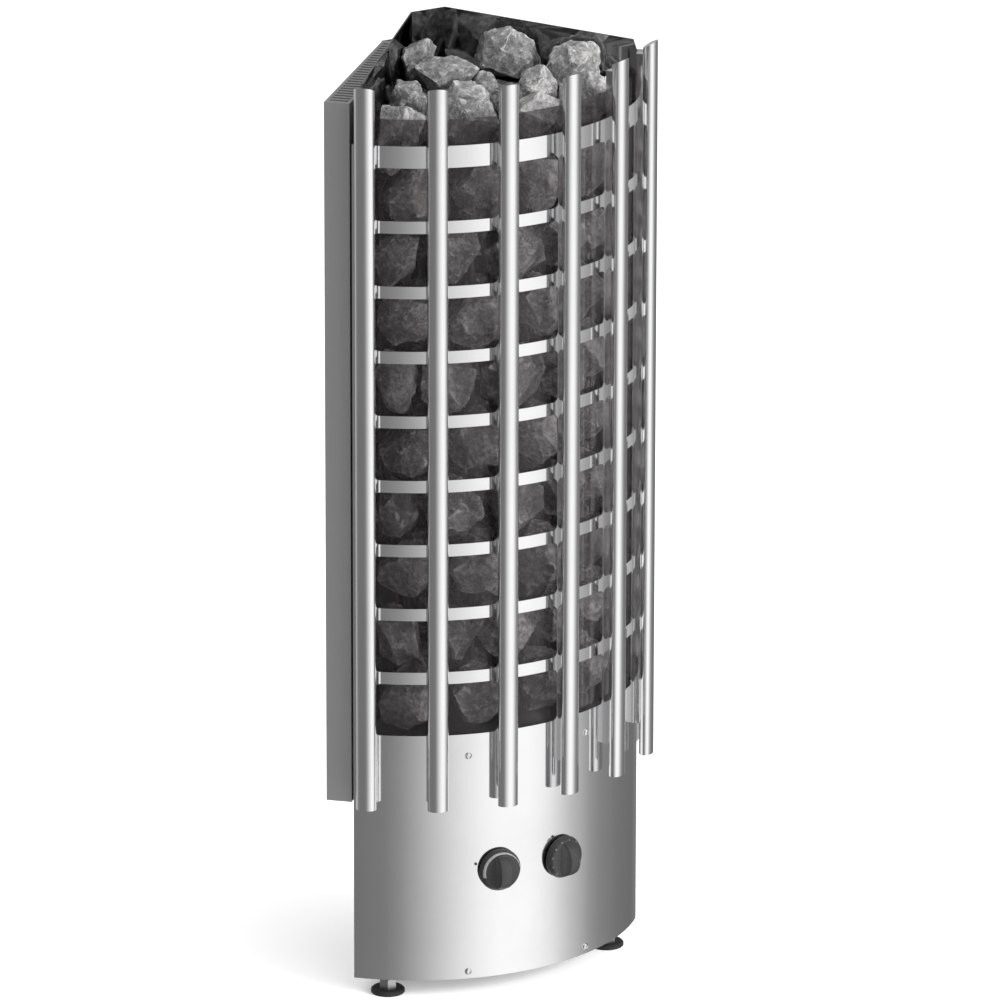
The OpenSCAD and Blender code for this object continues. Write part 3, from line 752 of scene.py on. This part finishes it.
@dataclass
class FrontBars:
    """The oval tubes in front of the grille, each with a sloped, softly edged top."""

    library: MaterialLibrary
    sizes: HeaterSizes = SIZES
    sides: int = 96
    bars: int = 6
    edge_share: float = 0.3
    smooth_degrees: float = 35.0

    def _ring(self, inset: float, height: Callable[[float], float]) -> list[Vector]:
        """One oval ring.

        Args:
            inset: Distance inside the tube's outer face.
            height: Height as a function of the distance behind the bar's front.

        Returns:
            Its points, about the bar's own axis.
        """
        a, b = self.sizes.bar_w / 2 - inset, self.sizes.bar_d / 2 - inset
        turns = (2 * math.pi * k / self.sides for k in range(self.sides))
        flat = ((a * math.cos(t), b * math.sin(t)) for t in turns)
        return [Vector((x, y, height(y + self.sizes.bar_d / 2))) for x, y in flat]

    def build(self) -> None:
        """Builds the six bars and rides them on the heater."""
        s, fall, edge = self.sizes, math.tan(self.sizes.bar_slope), self.sizes.bar_edge
        cap, part = s.bar_wall / math.cos(s.bar_slope), self.edge_share * edge
        rings = [
            self._ring(s.bar_wall, lambda y: s.bar_top - cap - y * fall),
            self._ring(s.bar_wall, lambda y: s.bar_bottom),
            self._ring(edge, lambda y: s.bar_bottom),
            self._ring(part, lambda y: s.bar_bottom + part),
            self._ring(0.0, lambda y: s.bar_bottom + edge),
            self._ring(0.0, lambda y: s.bar_top - edge - y * fall),
            self._ring(part, lambda y: s.bar_top - part - y * fall),
            self._ring(edge, lambda y: s.bar_top - y * fall),
        ]
        middles = [sum(rings[k], Vector()) / self.sides for k in (0, -1)]
        for index in range(self.bars):
            angle = (index + 1 - (self.bars + 1) / 2) * s.bar_pitch
            place = (Matrix.Translation((0, s.axis_y, 0)) @ Matrix.Rotation(angle, 4, "Z")
                     @ Matrix.Translation((0, -s.bar_r, 0)))
            obj = closed_loft(f"oval_bar_{index + 1}", [[place @ p for p in ring] for ring in rings],
                              [place @ p for p in middles], self.library.of(Slot.POLISHED),
                              self.smooth_degrees)
            node = f"front_bar_{index + 1}"
            finish_piece(obj, body_of_node(node), Slot.POLISHED, node)


@dataclass
class CurvedSheet:
    """A sheet round the heater's axis, shaded as a true cylinder."""

    node: str
    name: str
    slot: Slot
    library: MaterialLibrary
    sizes: HeaterSizes = SIZES
    radial_from: float = 0.97

    def build(self) -> None:
        """Copies the CAD sheet and gives its curved faces radial normals."""
        obj = copy_of_node(self.node, self.name, self.library.of(self.slot))
        mesh = obj.data
        mesh.shade_smooth()
        normals = [Vector()] * len(mesh.loops)
        for polygon in mesh.polygons:
            flat = polygon.normal.copy()
            for index in polygon.loop_indices:
                co = mesh.vertices[mesh.loops[index].vertex_index].co
                radial = Vector((co.x, co.y - self.sizes.axis_y, 0)).normalized()
                facing = radial.dot(flat)
                curved = abs(facing) > self.radial_from
                normals[index] = math.copysign(1, facing) * radial if curved else flat
        mesh.normals_split_custom_set(normals)
        finish_piece(obj, body_of_node(self.node), self.slot, self.node)


@dataclass(frozen=True)
class StoneCut:
    """How a group of stones is split: planes, the least share of a stone they keep, and growth."""

    planes: int
    depth_share: float
    growth: float = 1.0


@dataclass
class StoneHeap:
    """The stones: the CAD's closed hulls, split by planes, chipped and roughened."""

    library: MaterialLibrary
    sizes: HeaterSizes = SIZES
    inner_nodes: tuple[str, ...] = ("stones_1", "stones_2", "stones_3", "stones_4", "stones_5")
    inner: StoneCut = StoneCut(7, 0.70)
    top_node: str = "stones_top"
    top: StoneCut = StoneCut(4, 0.80, 1.12)
    seed: int = 7
    turn_step: float = 2.4
    turn_play: float = 0.5
    rise_play: float = 0.12
    depth_play: float = 0.17
    corner_merge: float = 0.4 * MM
    flat_degrees: float = 15.0
    chamfer: float = 1.4 * MM
    level: int = 3
    swell: float = 4 * MM
    step: float = 2.4 * MM
    grit: float = 2.6 * MM
    kept_share: float = 0.58
    smooth_degrees: float = 30.0

    @staticmethod
    def _group() -> NodeTree:
        """Geometry group that turns a split hull into rough rock.

        The relief moves every point towards the core of its own stone.

        Returns:
            The group.
        """
        group, g, source, out = new_group(
            "Rough rock", "GeometryNodeTree",
            {"Geometry": "NodeSocketGeometry", "Level": 3, "Swell depth": 0.005,
             "Step depth": 0.002, "Grit depth": 0.002, "Seed": 1, "Material": "NodeSocketMaterial"},
            {"Geometry": "NodeSocketGeometry"})
        island = g.add("GeometryNodeInputMeshIsland").outputs["Island Index"]
        tone = g.add("FunctionNodeRandomValue", {"ID": island, "Seed": source.outputs["Seed"]},
                     data_type="FLOAT")
        toned = g.add("GeometryNodeStoreNamedAttribute",
                      {"Geometry": source.outputs["Geometry"], "Name": "stone_tone",
                       "Value": tone.outputs[1]}, data_type="FLOAT", domain="POINT")
        fine = g.add("GeometryNodeSubdivideMesh",
                     {"Mesh": toned.outputs[0], "Level": source.outputs["Level"]})
        place = g.add("GeometryNodeInputPosition").outputs[0]
        cells = g.add("ShaderNodeTexVoronoi", {"Vector": place, "Scale": 46.0}, feature="F1")
        step = g.add("ShaderNodeSeparateXYZ", {0: cells.outputs["Color"]}).outputs[0]
        swell = g.remap(g.noise(place, 20.0, 2.0), 0.38, 0.66, 0.0, -1.0)
        grit = g.remap(g.noise(place, 85.0, 6.0, 0.72), 0.32, 0.68, -1.0, 0.0)
        depth = g.math("MULTIPLY", swell, source.outputs["Swell depth"])
        depth = g.math("SUBTRACT", depth, g.math("MULTIPLY", step, source.outputs["Step depth"]))
        depth = g.math("ADD", depth, g.math("MULTIPLY", source.outputs["Grit depth"], grit))
        core = g.add("GeometryNodeInputNamedAttribute", {"Name": "core"}, data_type="FLOAT_VECTOR")
        away = g.add("ShaderNodeVectorMath", {0: place, 1: core.outputs[0]}, operation="SUBTRACT")
        way = g.add("ShaderNodeVectorMath", {0: away.outputs[0]}, operation="NORMALIZE")
        offset = g.add("ShaderNodeVectorMath", {0: way.outputs[0], "Scale": depth}, operation="SCALE")
        moved = g.add("GeometryNodeSetPosition",
                      {"Geometry": fine.outputs[0], "Offset": offset.outputs[0]})
        g.end_geometry(moved.outputs[0], source, out)
        return group

    @staticmethod
    def _stones_of(mesh: Mesh) -> list[list[Vector]]:
        """Splits a mesh into its separate stones, always in the same order.

        Args:
            mesh: The CAD node's mesh.

        Returns:
            The corners of each stone.
        """
        work = bmesh.new()
        work.from_mesh(mesh)
        bmesh.ops.remove_doubles(work, verts=work.verts, dist=MERGE_DISTANCE)
        stones, seen = [], set()
        for start in work.verts:
            if start in seen:
                continue
            seen.add(start)
            found, front = [], [start]
            while front:
                vertex = front.pop()
                found.append(vertex.co.copy())
                near = [e.other_vert(vertex) for e in vertex.link_edges]
                near = [v for v in near if v not in seen]
                seen.update(near)
                front += near
            stones.append(found)
        work.free()
        return stones

    def _split(self, corners_of: list[Vector], dice: random.Random,
               cut: StoneCut) -> bmesh.types.BMesh:
        """Builds a stone from its corners and splits flat faces off it.

        Args:
            corners_of: The stone's corners.
            dice: Where the directions and depths come from.
            cut: How it is split.

        Returns:
            The stone, with flat faces of many corners and chamfered edges.
        """
        stone = bmesh.new()
        for co in corners_of:
            stone.verts.new(co)
        bmesh.ops.remove_doubles(stone, verts=stone.verts, dist=self.corner_merge)
        bmesh.ops.convex_hull(stone, input=stone.verts)
        loose = [v for v in stone.verts if not v.link_faces]
        bmesh.ops.delete(stone, geom=loose, context="VERTS")
        middle = sum((v.co for v in stone.verts), Vector()) / len(stone.verts)
        for k in range(cut.planes):
            rise = 1 - 2 * (k + 0.5) / cut.planes + dice.uniform(-self.rise_play, self.rise_play)
            turn = self.turn_step * k + dice.uniform(-self.turn_play, self.turn_play)
            flat = math.sqrt(max(0.0, 1 - rise * rise))
            way = Vector((flat * math.cos(turn), flat * math.sin(turn), rise)).normalized()
            reach = max((v.co - middle).dot(way) for v in stone.verts)
            reach *= dice.uniform(cut.depth_share, cut.depth_share + self.depth_play)
            bmesh.ops.bisect_plane(stone, geom=stone.verts[:] + stone.edges[:] + stone.faces[:],
                                   plane_co=middle + way * reach, plane_no=way, clear_outer=True)
            bmesh.ops.holes_fill(stone, edges=[e for e in stone.edges if e.is_boundary], sides=0)
        bmesh.ops.dissolve_limit(stone, angle_limit=math.radians(self.flat_degrees),
                                 verts=stone.verts, edges=stone.edges)
        bmesh.ops.bevel(stone, geom=stone.edges[:], offset=self.chamfer, segments=1, profile=0.5,
                        affect="EDGES", clamp_overlap=True)
        bmesh.ops.recalc_face_normals(stone, faces=stone.faces)
        return stone

    def _inside(self, co: Vector) -> Vector:
        """Moves a point of a stone back inside the liner and the glass.

        Args:
            co: The point.

        Returns:
            The nearest allowed point.
        """
        s = self.sizes
        flat = Vector((co.x, co.y - s.axis_y))
        for side in (-1, 1):
            way = Vector((side, 1)).normalized()
            flat -= way * max(0.0, flat.dot(way) + s.liner_inset + s.stone_gap)
        room = s.glass_in - s.stone_gap
        if co.z < s.glass_top and flat.length > room:
            flat *= room / flat.length
        return Vector((flat.x, flat.y + s.axis_y, co.z))

    def _split_node(self, node: str, dice: random.Random, cut: StoneCut) -> Object:
        """Builds the split stones of one CAD node as one object.

        Args:
            node: The CAD node.
            dice: Where the directions and depths come from.
            cut: How its stones are split.

        Returns:
            The object.
        """
        points: list[Vector] = []
        cores: list[Vector] = []
        faces: list[list[int]] = []
        for corners_of in self._stones_of(frame["nodes"][node].data):
            stone = self._split(corners_of, dice, cut)
            base = len(points)
            stone.verts.index_update()
            core = sum((v.co for v in stone.verts), Vector()) / len(stone.verts)
            points += [self._inside(core + cut.growth * (v.co - core)) for v in stone.verts]
            cores += [core] * len(stone.verts)
            faces += [[base + v.index for v in f.verts] for f in stone.faces]
            stone.free()
        obj = mesh_object(f"rock_{node}", points, faces, self.library.of(Slot.STONE))
        kept = obj.data.attributes.new("core", "FLOAT_VECTOR", "POINT")
        kept.data.foreach_set("vector", [c for core in cores for c in core])
        return obj

    def build(self) -> None:
        """Builds one rough piece for each CAD node of stones."""
        group, dice = self._group(), random.Random(self.seed)
        cuts = [(node, self.inner) for node in self.inner_nodes] + [(self.top_node, self.top)]
        for index, (node, cut) in enumerate(cuts):
            obj = self._split_node(node, dice, cut)
            use_nodes_modifier(obj, group, {
                "Level": self.level, "Swell depth": self.swell, "Step depth": self.step,
                "Grit depth": self.grit, "Seed": self.seed + index,
                "Material": self.library.of(Slot.STONE)})
            obj.modifiers.new("Thinned", "DECIMATE").ratio = self.kept_share
            bake(obj)
            smooth_by_angle(obj.data, self.smooth_degrees)
            finish_piece(obj, body_of_node(node), Slot.STONE, node)


def fasteners_on_points() -> NodeTree:
    """Geometry group that places a fastener on every point, facing along its normal.

    Returns:
        The group.
    """
    group, g, source, out = new_group(
        "Fasteners on points", "GeometryNodeTree",
        {"Geometry": "NodeSocketGeometry", "Fastener": "NodeSocketObject", "Scale": 1.0, "Seed": 3,
         "Largest turn": 6.28, "Material": "NodeSocketMaterial"},
        {"Geometry": "NodeSocketGeometry"})
    facing = g.add("GeometryNodeInputNamedAttribute", {"Name": "facing"}, data_type="FLOAT_VECTOR")
    turn = g.add("FunctionNodeAlignRotationToVector", {"Vector": facing.outputs[0]}, axis="Z")
    pattern = g.add("GeometryNodeObjectInfo", {"Object": source.outputs["Fastener"]},
                    transform_space="ORIGINAL")
    put = g.add("GeometryNodeInstanceOnPoints",
                {"Points": source.outputs["Geometry"], "Instance": pattern.outputs["Geometry"],
                 "Rotation": turn.outputs[0], "Scale": source.outputs["Scale"]})
    spin = g.add("FunctionNodeRandomValue", {2: 0.0, 3: source.outputs["Largest turn"],
                                             "Seed": source.outputs["Seed"]}, data_type="FLOAT")
    about = g.add("ShaderNodeCombineXYZ", {2: spin.outputs[1]})
    turned = g.add("GeometryNodeRotateInstances",
                   {"Instances": put.outputs[0], "Rotation": about.outputs[0]})
    g.end_geometry(turned.outputs[0], source, out)
    return group


def placed_fasteners(name: str, frames: Sequence[Matrix], pattern: Object,
                     material: Material) -> Object:
    """Puts one fastener shape on many frames and joins them into one piece.

    Args:
        name: The piece's name.
        frames: One frame for each fastener, with Z pointing out of the surface.
        pattern: The fastener, its seat at the origin. It is removed afterwards.
        material: The material.

    Returns:
        The piece.
    """
    obj = mesh_object(name, [f.translation for f in frames], [], material)
    facing = obj.data.attributes.new("facing", "FLOAT_VECTOR", "POINT")
    facing.data.foreach_set("vector", [c for f in frames for c in f.to_3x3().col[2]])
    use_nodes_modifier(obj, fasteners_on_points(), {"Fastener": pattern, "Scale": 1.0, "Seed": 3,
                                                    "Largest turn": 6.28, "Material": material})
    bake(obj)
    bpy.data.objects.remove(pattern)
    return obj


@dataclass
class CasingScrews:
    """Domed socket screws, one shape placed on each point of the skirt.

    The shares are of the head's height, except socket_share, which is of its diameter, and the two
    flat shares, which are of the socket's width.
    """

    library: MaterialLibrary
    sizes: HeaterSizes = SIZES
    sides: int = 48
    dome_degrees: tuple[int, ...] = (12, 24, 36, 48, 60)
    tail_share: float = 0.2
    rim_share: float = 0.12
    lip_share: float = 0.06
    deep_share: float = 0.45
    socket_share: float = 0.30
    outer_flat_share: float = 0.86
    inner_flat_share: float = 0.80
    smooth_degrees: float = 32.0

    def _screw(self) -> Object:
        """One screw with a domed head and a hexagonal socket, its seat at the origin.

        Returns:
            The screw.
        """
        s = self.sizes
        r, h, rim = s.screw_head_d / 2, s.screw_head_h, self.rim_share * s.screw_head_h
        socket, tail = self.socket_share * s.screw_head_d, self.tail_share * h - s.screw_len
        floor = h - self.deep_share * h
        outline = [(s.screw_d / 2, tail), (s.screw_d / 2, 0.0), (r, 0.0), (r, rim)]
        outline += [(r * math.cos(t), rim + (h - rim) * math.sin(t))
                    for t in map(math.radians, self.dome_degrees)]
        rings = [round_ring(radius, z, self.sides) for radius, z in outline]
        edge = outline[-1][1]
        for share, z in ((self.outer_flat_share, edge + self.lip_share * h),
                         (self.inner_flat_share, edge), (self.inner_flat_share, floor)):
            rings.append([Vector((*self._hexagon(share * socket, 2 * math.pi * k / self.sides), z))
                          for k in range(self.sides)])
        return closed_loft("screw_pattern", rings, [Vector((0, 0, tail)), Vector((0, 0, floor))],
                           self.library.of(Slot.POLISHED), self.smooth_degrees)

    @staticmethod
    def _hexagon(inner: float, angle: float) -> tuple[float, float]:
        """Gives a hexagon's point in a direction, from half its width across flats."""
        reach = inner / math.cos(angle % (math.pi / 3) - math.pi / 6)
        return reach * math.cos(angle), reach * math.sin(angle)

    def build(self) -> None:
        """Builds the four screws as one piece."""
        s = self.sizes
        frames = [on_front(side * s.screw_at, z, s.casing_r)
                  for side in (-1, 1) for z in s.screw_rows]
        obj = placed_fasteners("socket_screws", frames, self._screw(),
                               self.library.of(Slot.POLISHED))
        finish_piece(obj, ROOT_BODY, Slot.POLISHED, "casing_screws")


@dataclass
class DuctRivets:
    """Low domed rivets down both edges of each duct's outer face."""

    library: MaterialLibrary
    sizes: HeaterSizes = SIZES
    radius: float = 2.6 * MM
    height: float = 0.8 * MM
    sunk: float = 0.4 * MM
    edge: float = 11 * MM
    rows: int = 6
    sides: int = 24
    dome_degrees: tuple[int, ...] = (18, 36, 54, 72)
    smooth_degrees: float = 40.0

    def _rivet(self) -> Object:
        """One domed rivet, its seat at the origin.

        Returns:
            The rivet.
        """
        outline = [(self.radius, -self.sunk), (self.radius, 0.0)]
        outline += [(self.radius * math.cos(t), self.height * math.sin(t))
                    for t in map(math.radians, self.dome_degrees)]
        return closed_loft("rivet_pattern", [round_ring(r, z, self.sides) for r, z in outline],
                           [Vector((0, 0, -self.sunk)), Vector((0, 0, self.height))],
                           self.library.of(Slot.DUCT), self.smooth_degrees)

    def build(self) -> None:
        """Builds the rivets of both ducts as one piece."""
        s, frames = self.sizes, []
        low, high = s.bar_bottom + self.edge, s.duct_top - 2 * self.edge
        for side in (-1, 1):
            face = (Matrix.Translation((0, s.axis_y, 0)) @ Matrix.Rotation(-side * s.duct_turn, 4, "Z")
                    @ Matrix.Translation((0, s.duct_out, 0)) @ Matrix.Rotation(-math.pi / 2, 4, "X"))
            for back in (self.edge, s.duct_length - self.edge):
                for row in range(self.rows):
                    up = low + (high - low) * row / (self.rows - 1)
                    frames.append(face @ Matrix.Translation((side * back, -up, 0)))
        obj = placed_fasteners("duct_rivets", frames, self._rivet(), self.library.of(Slot.DUCT))
        finish_piece(obj, ROOT_BODY, Slot.DUCT)


@dataclass(frozen=True)
class DialMark:
    """One printed mark on a dial's face: a stretch of ring from start to end, in degrees.

    The inner and outer edges are shares of the dial's radius, at the start and at the end.
    """

    start: float
    end: float
    inner: tuple[float, float]
    outer: tuple[float, float]


TIMER_MARKS = (DialMark(194, 8, (0.80, 0.87), (0.92, 0.90)),)
THERMOSTAT_MARKS = tuple(DialMark(a, a + 5, (0.84, 0.84), (0.90, 0.90)) for a in range(50, 230, 29))


@dataclass
class Dial:
    """A control dial: the CAD knob, softly edged, with its printed marks."""

    node: str
    body: str
    angle: float
    marks: tuple[DialMark, ...]
    library: MaterialLibrary
    ink: Material
    sizes: HeaterSizes = SIZES
    mark_lift: float = 0.15 * MM
    mark_degrees: float = 4.0
    lanes: int = 8
    smooth_degrees: float = 28.0

    def build(self) -> None:
        """Builds the dial's marks and dresses its knob."""
        s = self.sizes
        place = on_front(self.angle, s.knob_z, s.casing_r + s.knob_gap)
        knob = copy_of_node(self.node, f"{self.node}_moulding", self.library.of(Slot.KNOB))
        smooth_by_angle(knob.data, self.smooth_degrees)
        finish_piece(knob, self.body, Slot.KNOB, self.node)
        points: list[Vector] = []
        faces: list[tuple[int, ...]] = []
        for mark in self.marks:
            self._ring_mark(mark, points, faces)
        obj = mesh_object(f"{self.node}_marks", [place @ p for p in points], faces, self.ink)
        close_outward(obj.data)
        finish_piece(obj, self.body, None)

    def _ring_mark(self, mark: DialMark, points: list[Vector], faces: list[tuple[int, ...]]) -> None:
        """Adds one closed, thin ring stretch that lies on the dial's conical skirt.

        Args:
            mark: Its place.
            points: The vertex list to grow.
            faces: The face list to grow.
        """
        r, lanes, base = self.sizes.knob_d / 2, self.lanes, len(points)
        steps = max(2, int(abs(mark.end - mark.start) / self.mark_degrees) + 1)
        rim = 2 * (lanes + 1)
        for k in range(steps + 1):
            share = k / steps
            turn = math.radians(mark.start + (mark.end - mark.start) * share)
            low, high = (a + (b - a) * share for a, b in (mark.inner, mark.outer))
            across = [(low + (high - low) * j / lanes) * r for j in range(lanes + 1)]
            loop = [(reach, self.mark_lift) for reach in across]
            loop += [(reach, -self.mark_lift) for reach in reversed(across)]
            points += [Vector((reach * math.cos(turn), reach * math.sin(turn),
                               self._skirt_height(reach) + lift)) for reach, lift in loop]
        faces += [(base + k * rim + j, base + k * rim + (j + 1) % rim,
                   base + (k + 1) * rim + (j + 1) % rim, base + (k + 1) * rim + j)
                  for k in range(steps) for j in range(rim)]
        for end in (base, base + steps * rim):
            faces += [(end + j, end + j + 1, end + rim - 2 - j, end + rim - 1 - j)
                      for j in range(lanes)]

    def _skirt_height(self, reach: float) -> float:
        """Height of the dial's skirt at a distance from its axis.

        Args:
            reach: The distance.

        Returns:
            The height above the dial's back.
        """
        edge, low, top = self.sizes.knob_edge, self.sizes.knob_foot, self.sizes.knob_face
        high, inward = top - edge, self.sizes.knob_d / 2 - reach
        if inward < 2 * edge:
            return low + (high - low) * inward / (2 * edge)
        if inward < 3 * edge:
            return high + (top - high) * (inward - 2 * edge) / edge
        return top


# Stage


@dataclass(frozen=True)
class ViewPoint:
    """The photograph's camera, fitted to traced edges."""

    place: tuple[float, float, float] = (-5.334, -8.988, 3.964)
    azimuth: float = math.radians(-31.0)
    elevation: float = math.radians(18.363)
    roll: float = -0.001547
    lens: float = 374.24
    sensor: float = 36.0
    near: float = 0.5
    far: float = 60.0

    def build(self) -> None:
        """Makes the camera."""
        data = bpy.data.cameras.new("Camera")
        data.lens, data.sensor_width = self.lens, self.sensor
        data.clip_start, data.clip_end = self.near, self.far
        camera = linked("Camera", data)
        camera.matrix_world = (
            Matrix.Translation(self.place) @ Matrix.Rotation(self.azimuth, 4, "Z")
            @ Matrix.Rotation(math.pi / 2 - self.elevation, 4, "X")
            @ Matrix.Rotation(-self.roll, 4, "Z"))
        bpy.context.scene.camera = camera


@dataclass(frozen=True)
class AreaLight:
    """A square softbox."""

    name: str
    place: tuple[float, float, float]
    aim: tuple[float, float, float]
    side: float
    power: float

    def build(self) -> None:
        """Makes the light."""
        data = bpy.data.lights.new(self.name, "AREA")
        data.shape, data.size, data.energy = "SQUARE", self.side, self.power
        light = linked(self.name, data)
        light.visible_glossy = False
        way = Vector(self.aim) - Vector(self.place)
        light.location = self.place
        light.rotation_euler = way.to_track_quat("-Z", "Y").to_euler()


@dataclass(frozen=True)
class SkyLight:
    """The wide, even light from above that whitens the floor."""

    name: str = "Overhead"
    power: float = 2.2
    spread: float = math.radians(120)
    tilt: tuple[float, float, float] = (math.radians(18), math.radians(-8), 0.0)

    def build(self) -> None:
        """Makes the light."""
        data = bpy.data.lights.new(self.name, "SUN")
        data.energy, data.angle = self.power, self.spread
        light = linked(self.name, data)
        light.visible_glossy = False
        light.rotation_euler = self.tilt


@dataclass
class Studio:
    """Pale floor, soft lights and a world whose tone changes round the heater.

    The tones are pairs of compass direction, in degrees, and brightness.
    """

    tones: tuple[tuple[float, float], ...] = (
        (-180, 0.50), (-140, 0.44), (-124, 0.22), (-100, 0.18), (-62, 0.18), (-47, 0.21), (-39, 0.28),
        (-29, 0.44), (-19, 0.62), (-9, 0.80), (2, 0.97), (12, 1.06), (28, 1.06), (36, 0.99),
        (43, 0.87), (49, 0.72), (55, 0.58), (62, 0.46), (69, 0.33), (78, 0.25), (95, 0.19),
        (115, 0.16), (150, 0.42), (180, 0.50))
    lights: tuple[AreaLight | SkyLight, ...] = (
        AreaLight("Key softbox", (1.7, -3.6, 1.7), (0, 0, 0.5), 2.0, 270.0),
        AreaLight("Top softbox", (-0.2, -0.5, 3.4), (0, 0, 0.9), 2.4, 30.0),
        SkyLight())
    floor_half: float = 14.0
    floor_tone: float = 0.86
    floor_glow: float = 0.2

    def build(self) -> None:
        """Builds the stage. Reflections see past the lights and the floor, to the world's tones."""
        self._floor()
        self._world()
        for light in self.lights:
            light.build()
        bpy.context.scene.view_settings.view_transform = "Standard"

    def _floor(self) -> None:
        """Makes the pale floor."""
        material = bpy.data.materials.new("Pale floor")
        material.use_nodes = True
        NodeGraph(material.node_tree).fill(material.node_tree.nodes["Principled BSDF"], {
            "Base Color": (*[self.floor_tone] * 3, 1.0), "Roughness": 0.9, "Specular IOR Level": 0.1,
            "Emission Color": (1.0, 1.0, 1.0, 1.0), "Emission Strength": self.floor_glow})
        corners_of = [(x * self.floor_half, y * self.floor_half, 0)
                      for x, y in ((-1, -1), (1, -1), (1, 1), (-1, 1))]
        floor = mesh_object("floor", corners_of, [(0, 1, 2, 3)], material)
        floor.visible_glossy = False

    def _world(self) -> None:
        """Makes the world: a ring of soft tones by compass direction."""
        world = bpy.data.worlds.new("Soft ring")
        world.use_nodes = True
        world.node_tree.nodes.clear()
        g = NodeGraph(world.node_tree)
        way = g.add("ShaderNodeTexCoord").outputs["Generated"]
        parts = g.add("ShaderNodeSeparateXYZ", {0: way})
        turn = g.math("ARCTAN2", parts.outputs[0], g.math("MULTIPLY", parts.outputs[1], -1.0))
        share = g.math("ADD", g.math("DIVIDE", turn, 2 * math.pi), 0.5)
        colour = g.ramp(share, [(a / 360 + 0.5, (t, t, t)) for a, t in self.tones])
        back = g.add("ShaderNodeBackground", {"Color": colour})
        g.add("ShaderNodeOutputWorld", {"Surface": back.outputs[0]})
        bpy.context.scene.world = world


# The whole heater


@dataclass
class Heater:
    """All pieces of the heater."""

    library: MaterialLibrary
    smooth_degrees: float = 25.0

    def dress_nodes(self) -> None:
        """Gives every CAD node its finish."""
        for part in frame["record"]["subparts"]:
            mesh = frame["nodes"][part["node"]].data
            coat(mesh, self.library.of(Slot(part["material_slot"])))
            smooth_by_angle(mesh, self.smooth_degrees)

    def build(self) -> None:
        """Dresses the CAD nodes and builds the pieces that replace or join them."""
        library = self.library
        self.dress_nodes()
        FrontBars(library).build()
        CurvedSheet("front_panel", "polished_panel", Slot.POLISHED, library).build()
        CurvedSheet("smoked_glass", "smoked_pane", Slot.GLASS, library).build()
        StoneHeap(library).build()
        CasingScrews(library).build()
        DuctRivets(library).build()
        Dial("timer_knob", "timer_dial", SIZES.timer_at, TIMER_MARKS, library, library.mark).build()
        Dial("thermostat_knob", "thermostat_dial", SIZES.thermostat_at, THERMOSTAT_MARKS, library,
             library.faint_mark).build()


def main() -> None:
    """Builds the scene round the CAD frame."""
    logging.basicConfig(level=logging.INFO, format="%(name)s: %(message)s")
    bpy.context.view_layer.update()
    ViewPoint().build()
    Studio().build()
    Heater(MaterialLibrary()).build()
    bpy.context.view_layer.update()


if __name__ == "__main__":
    main()
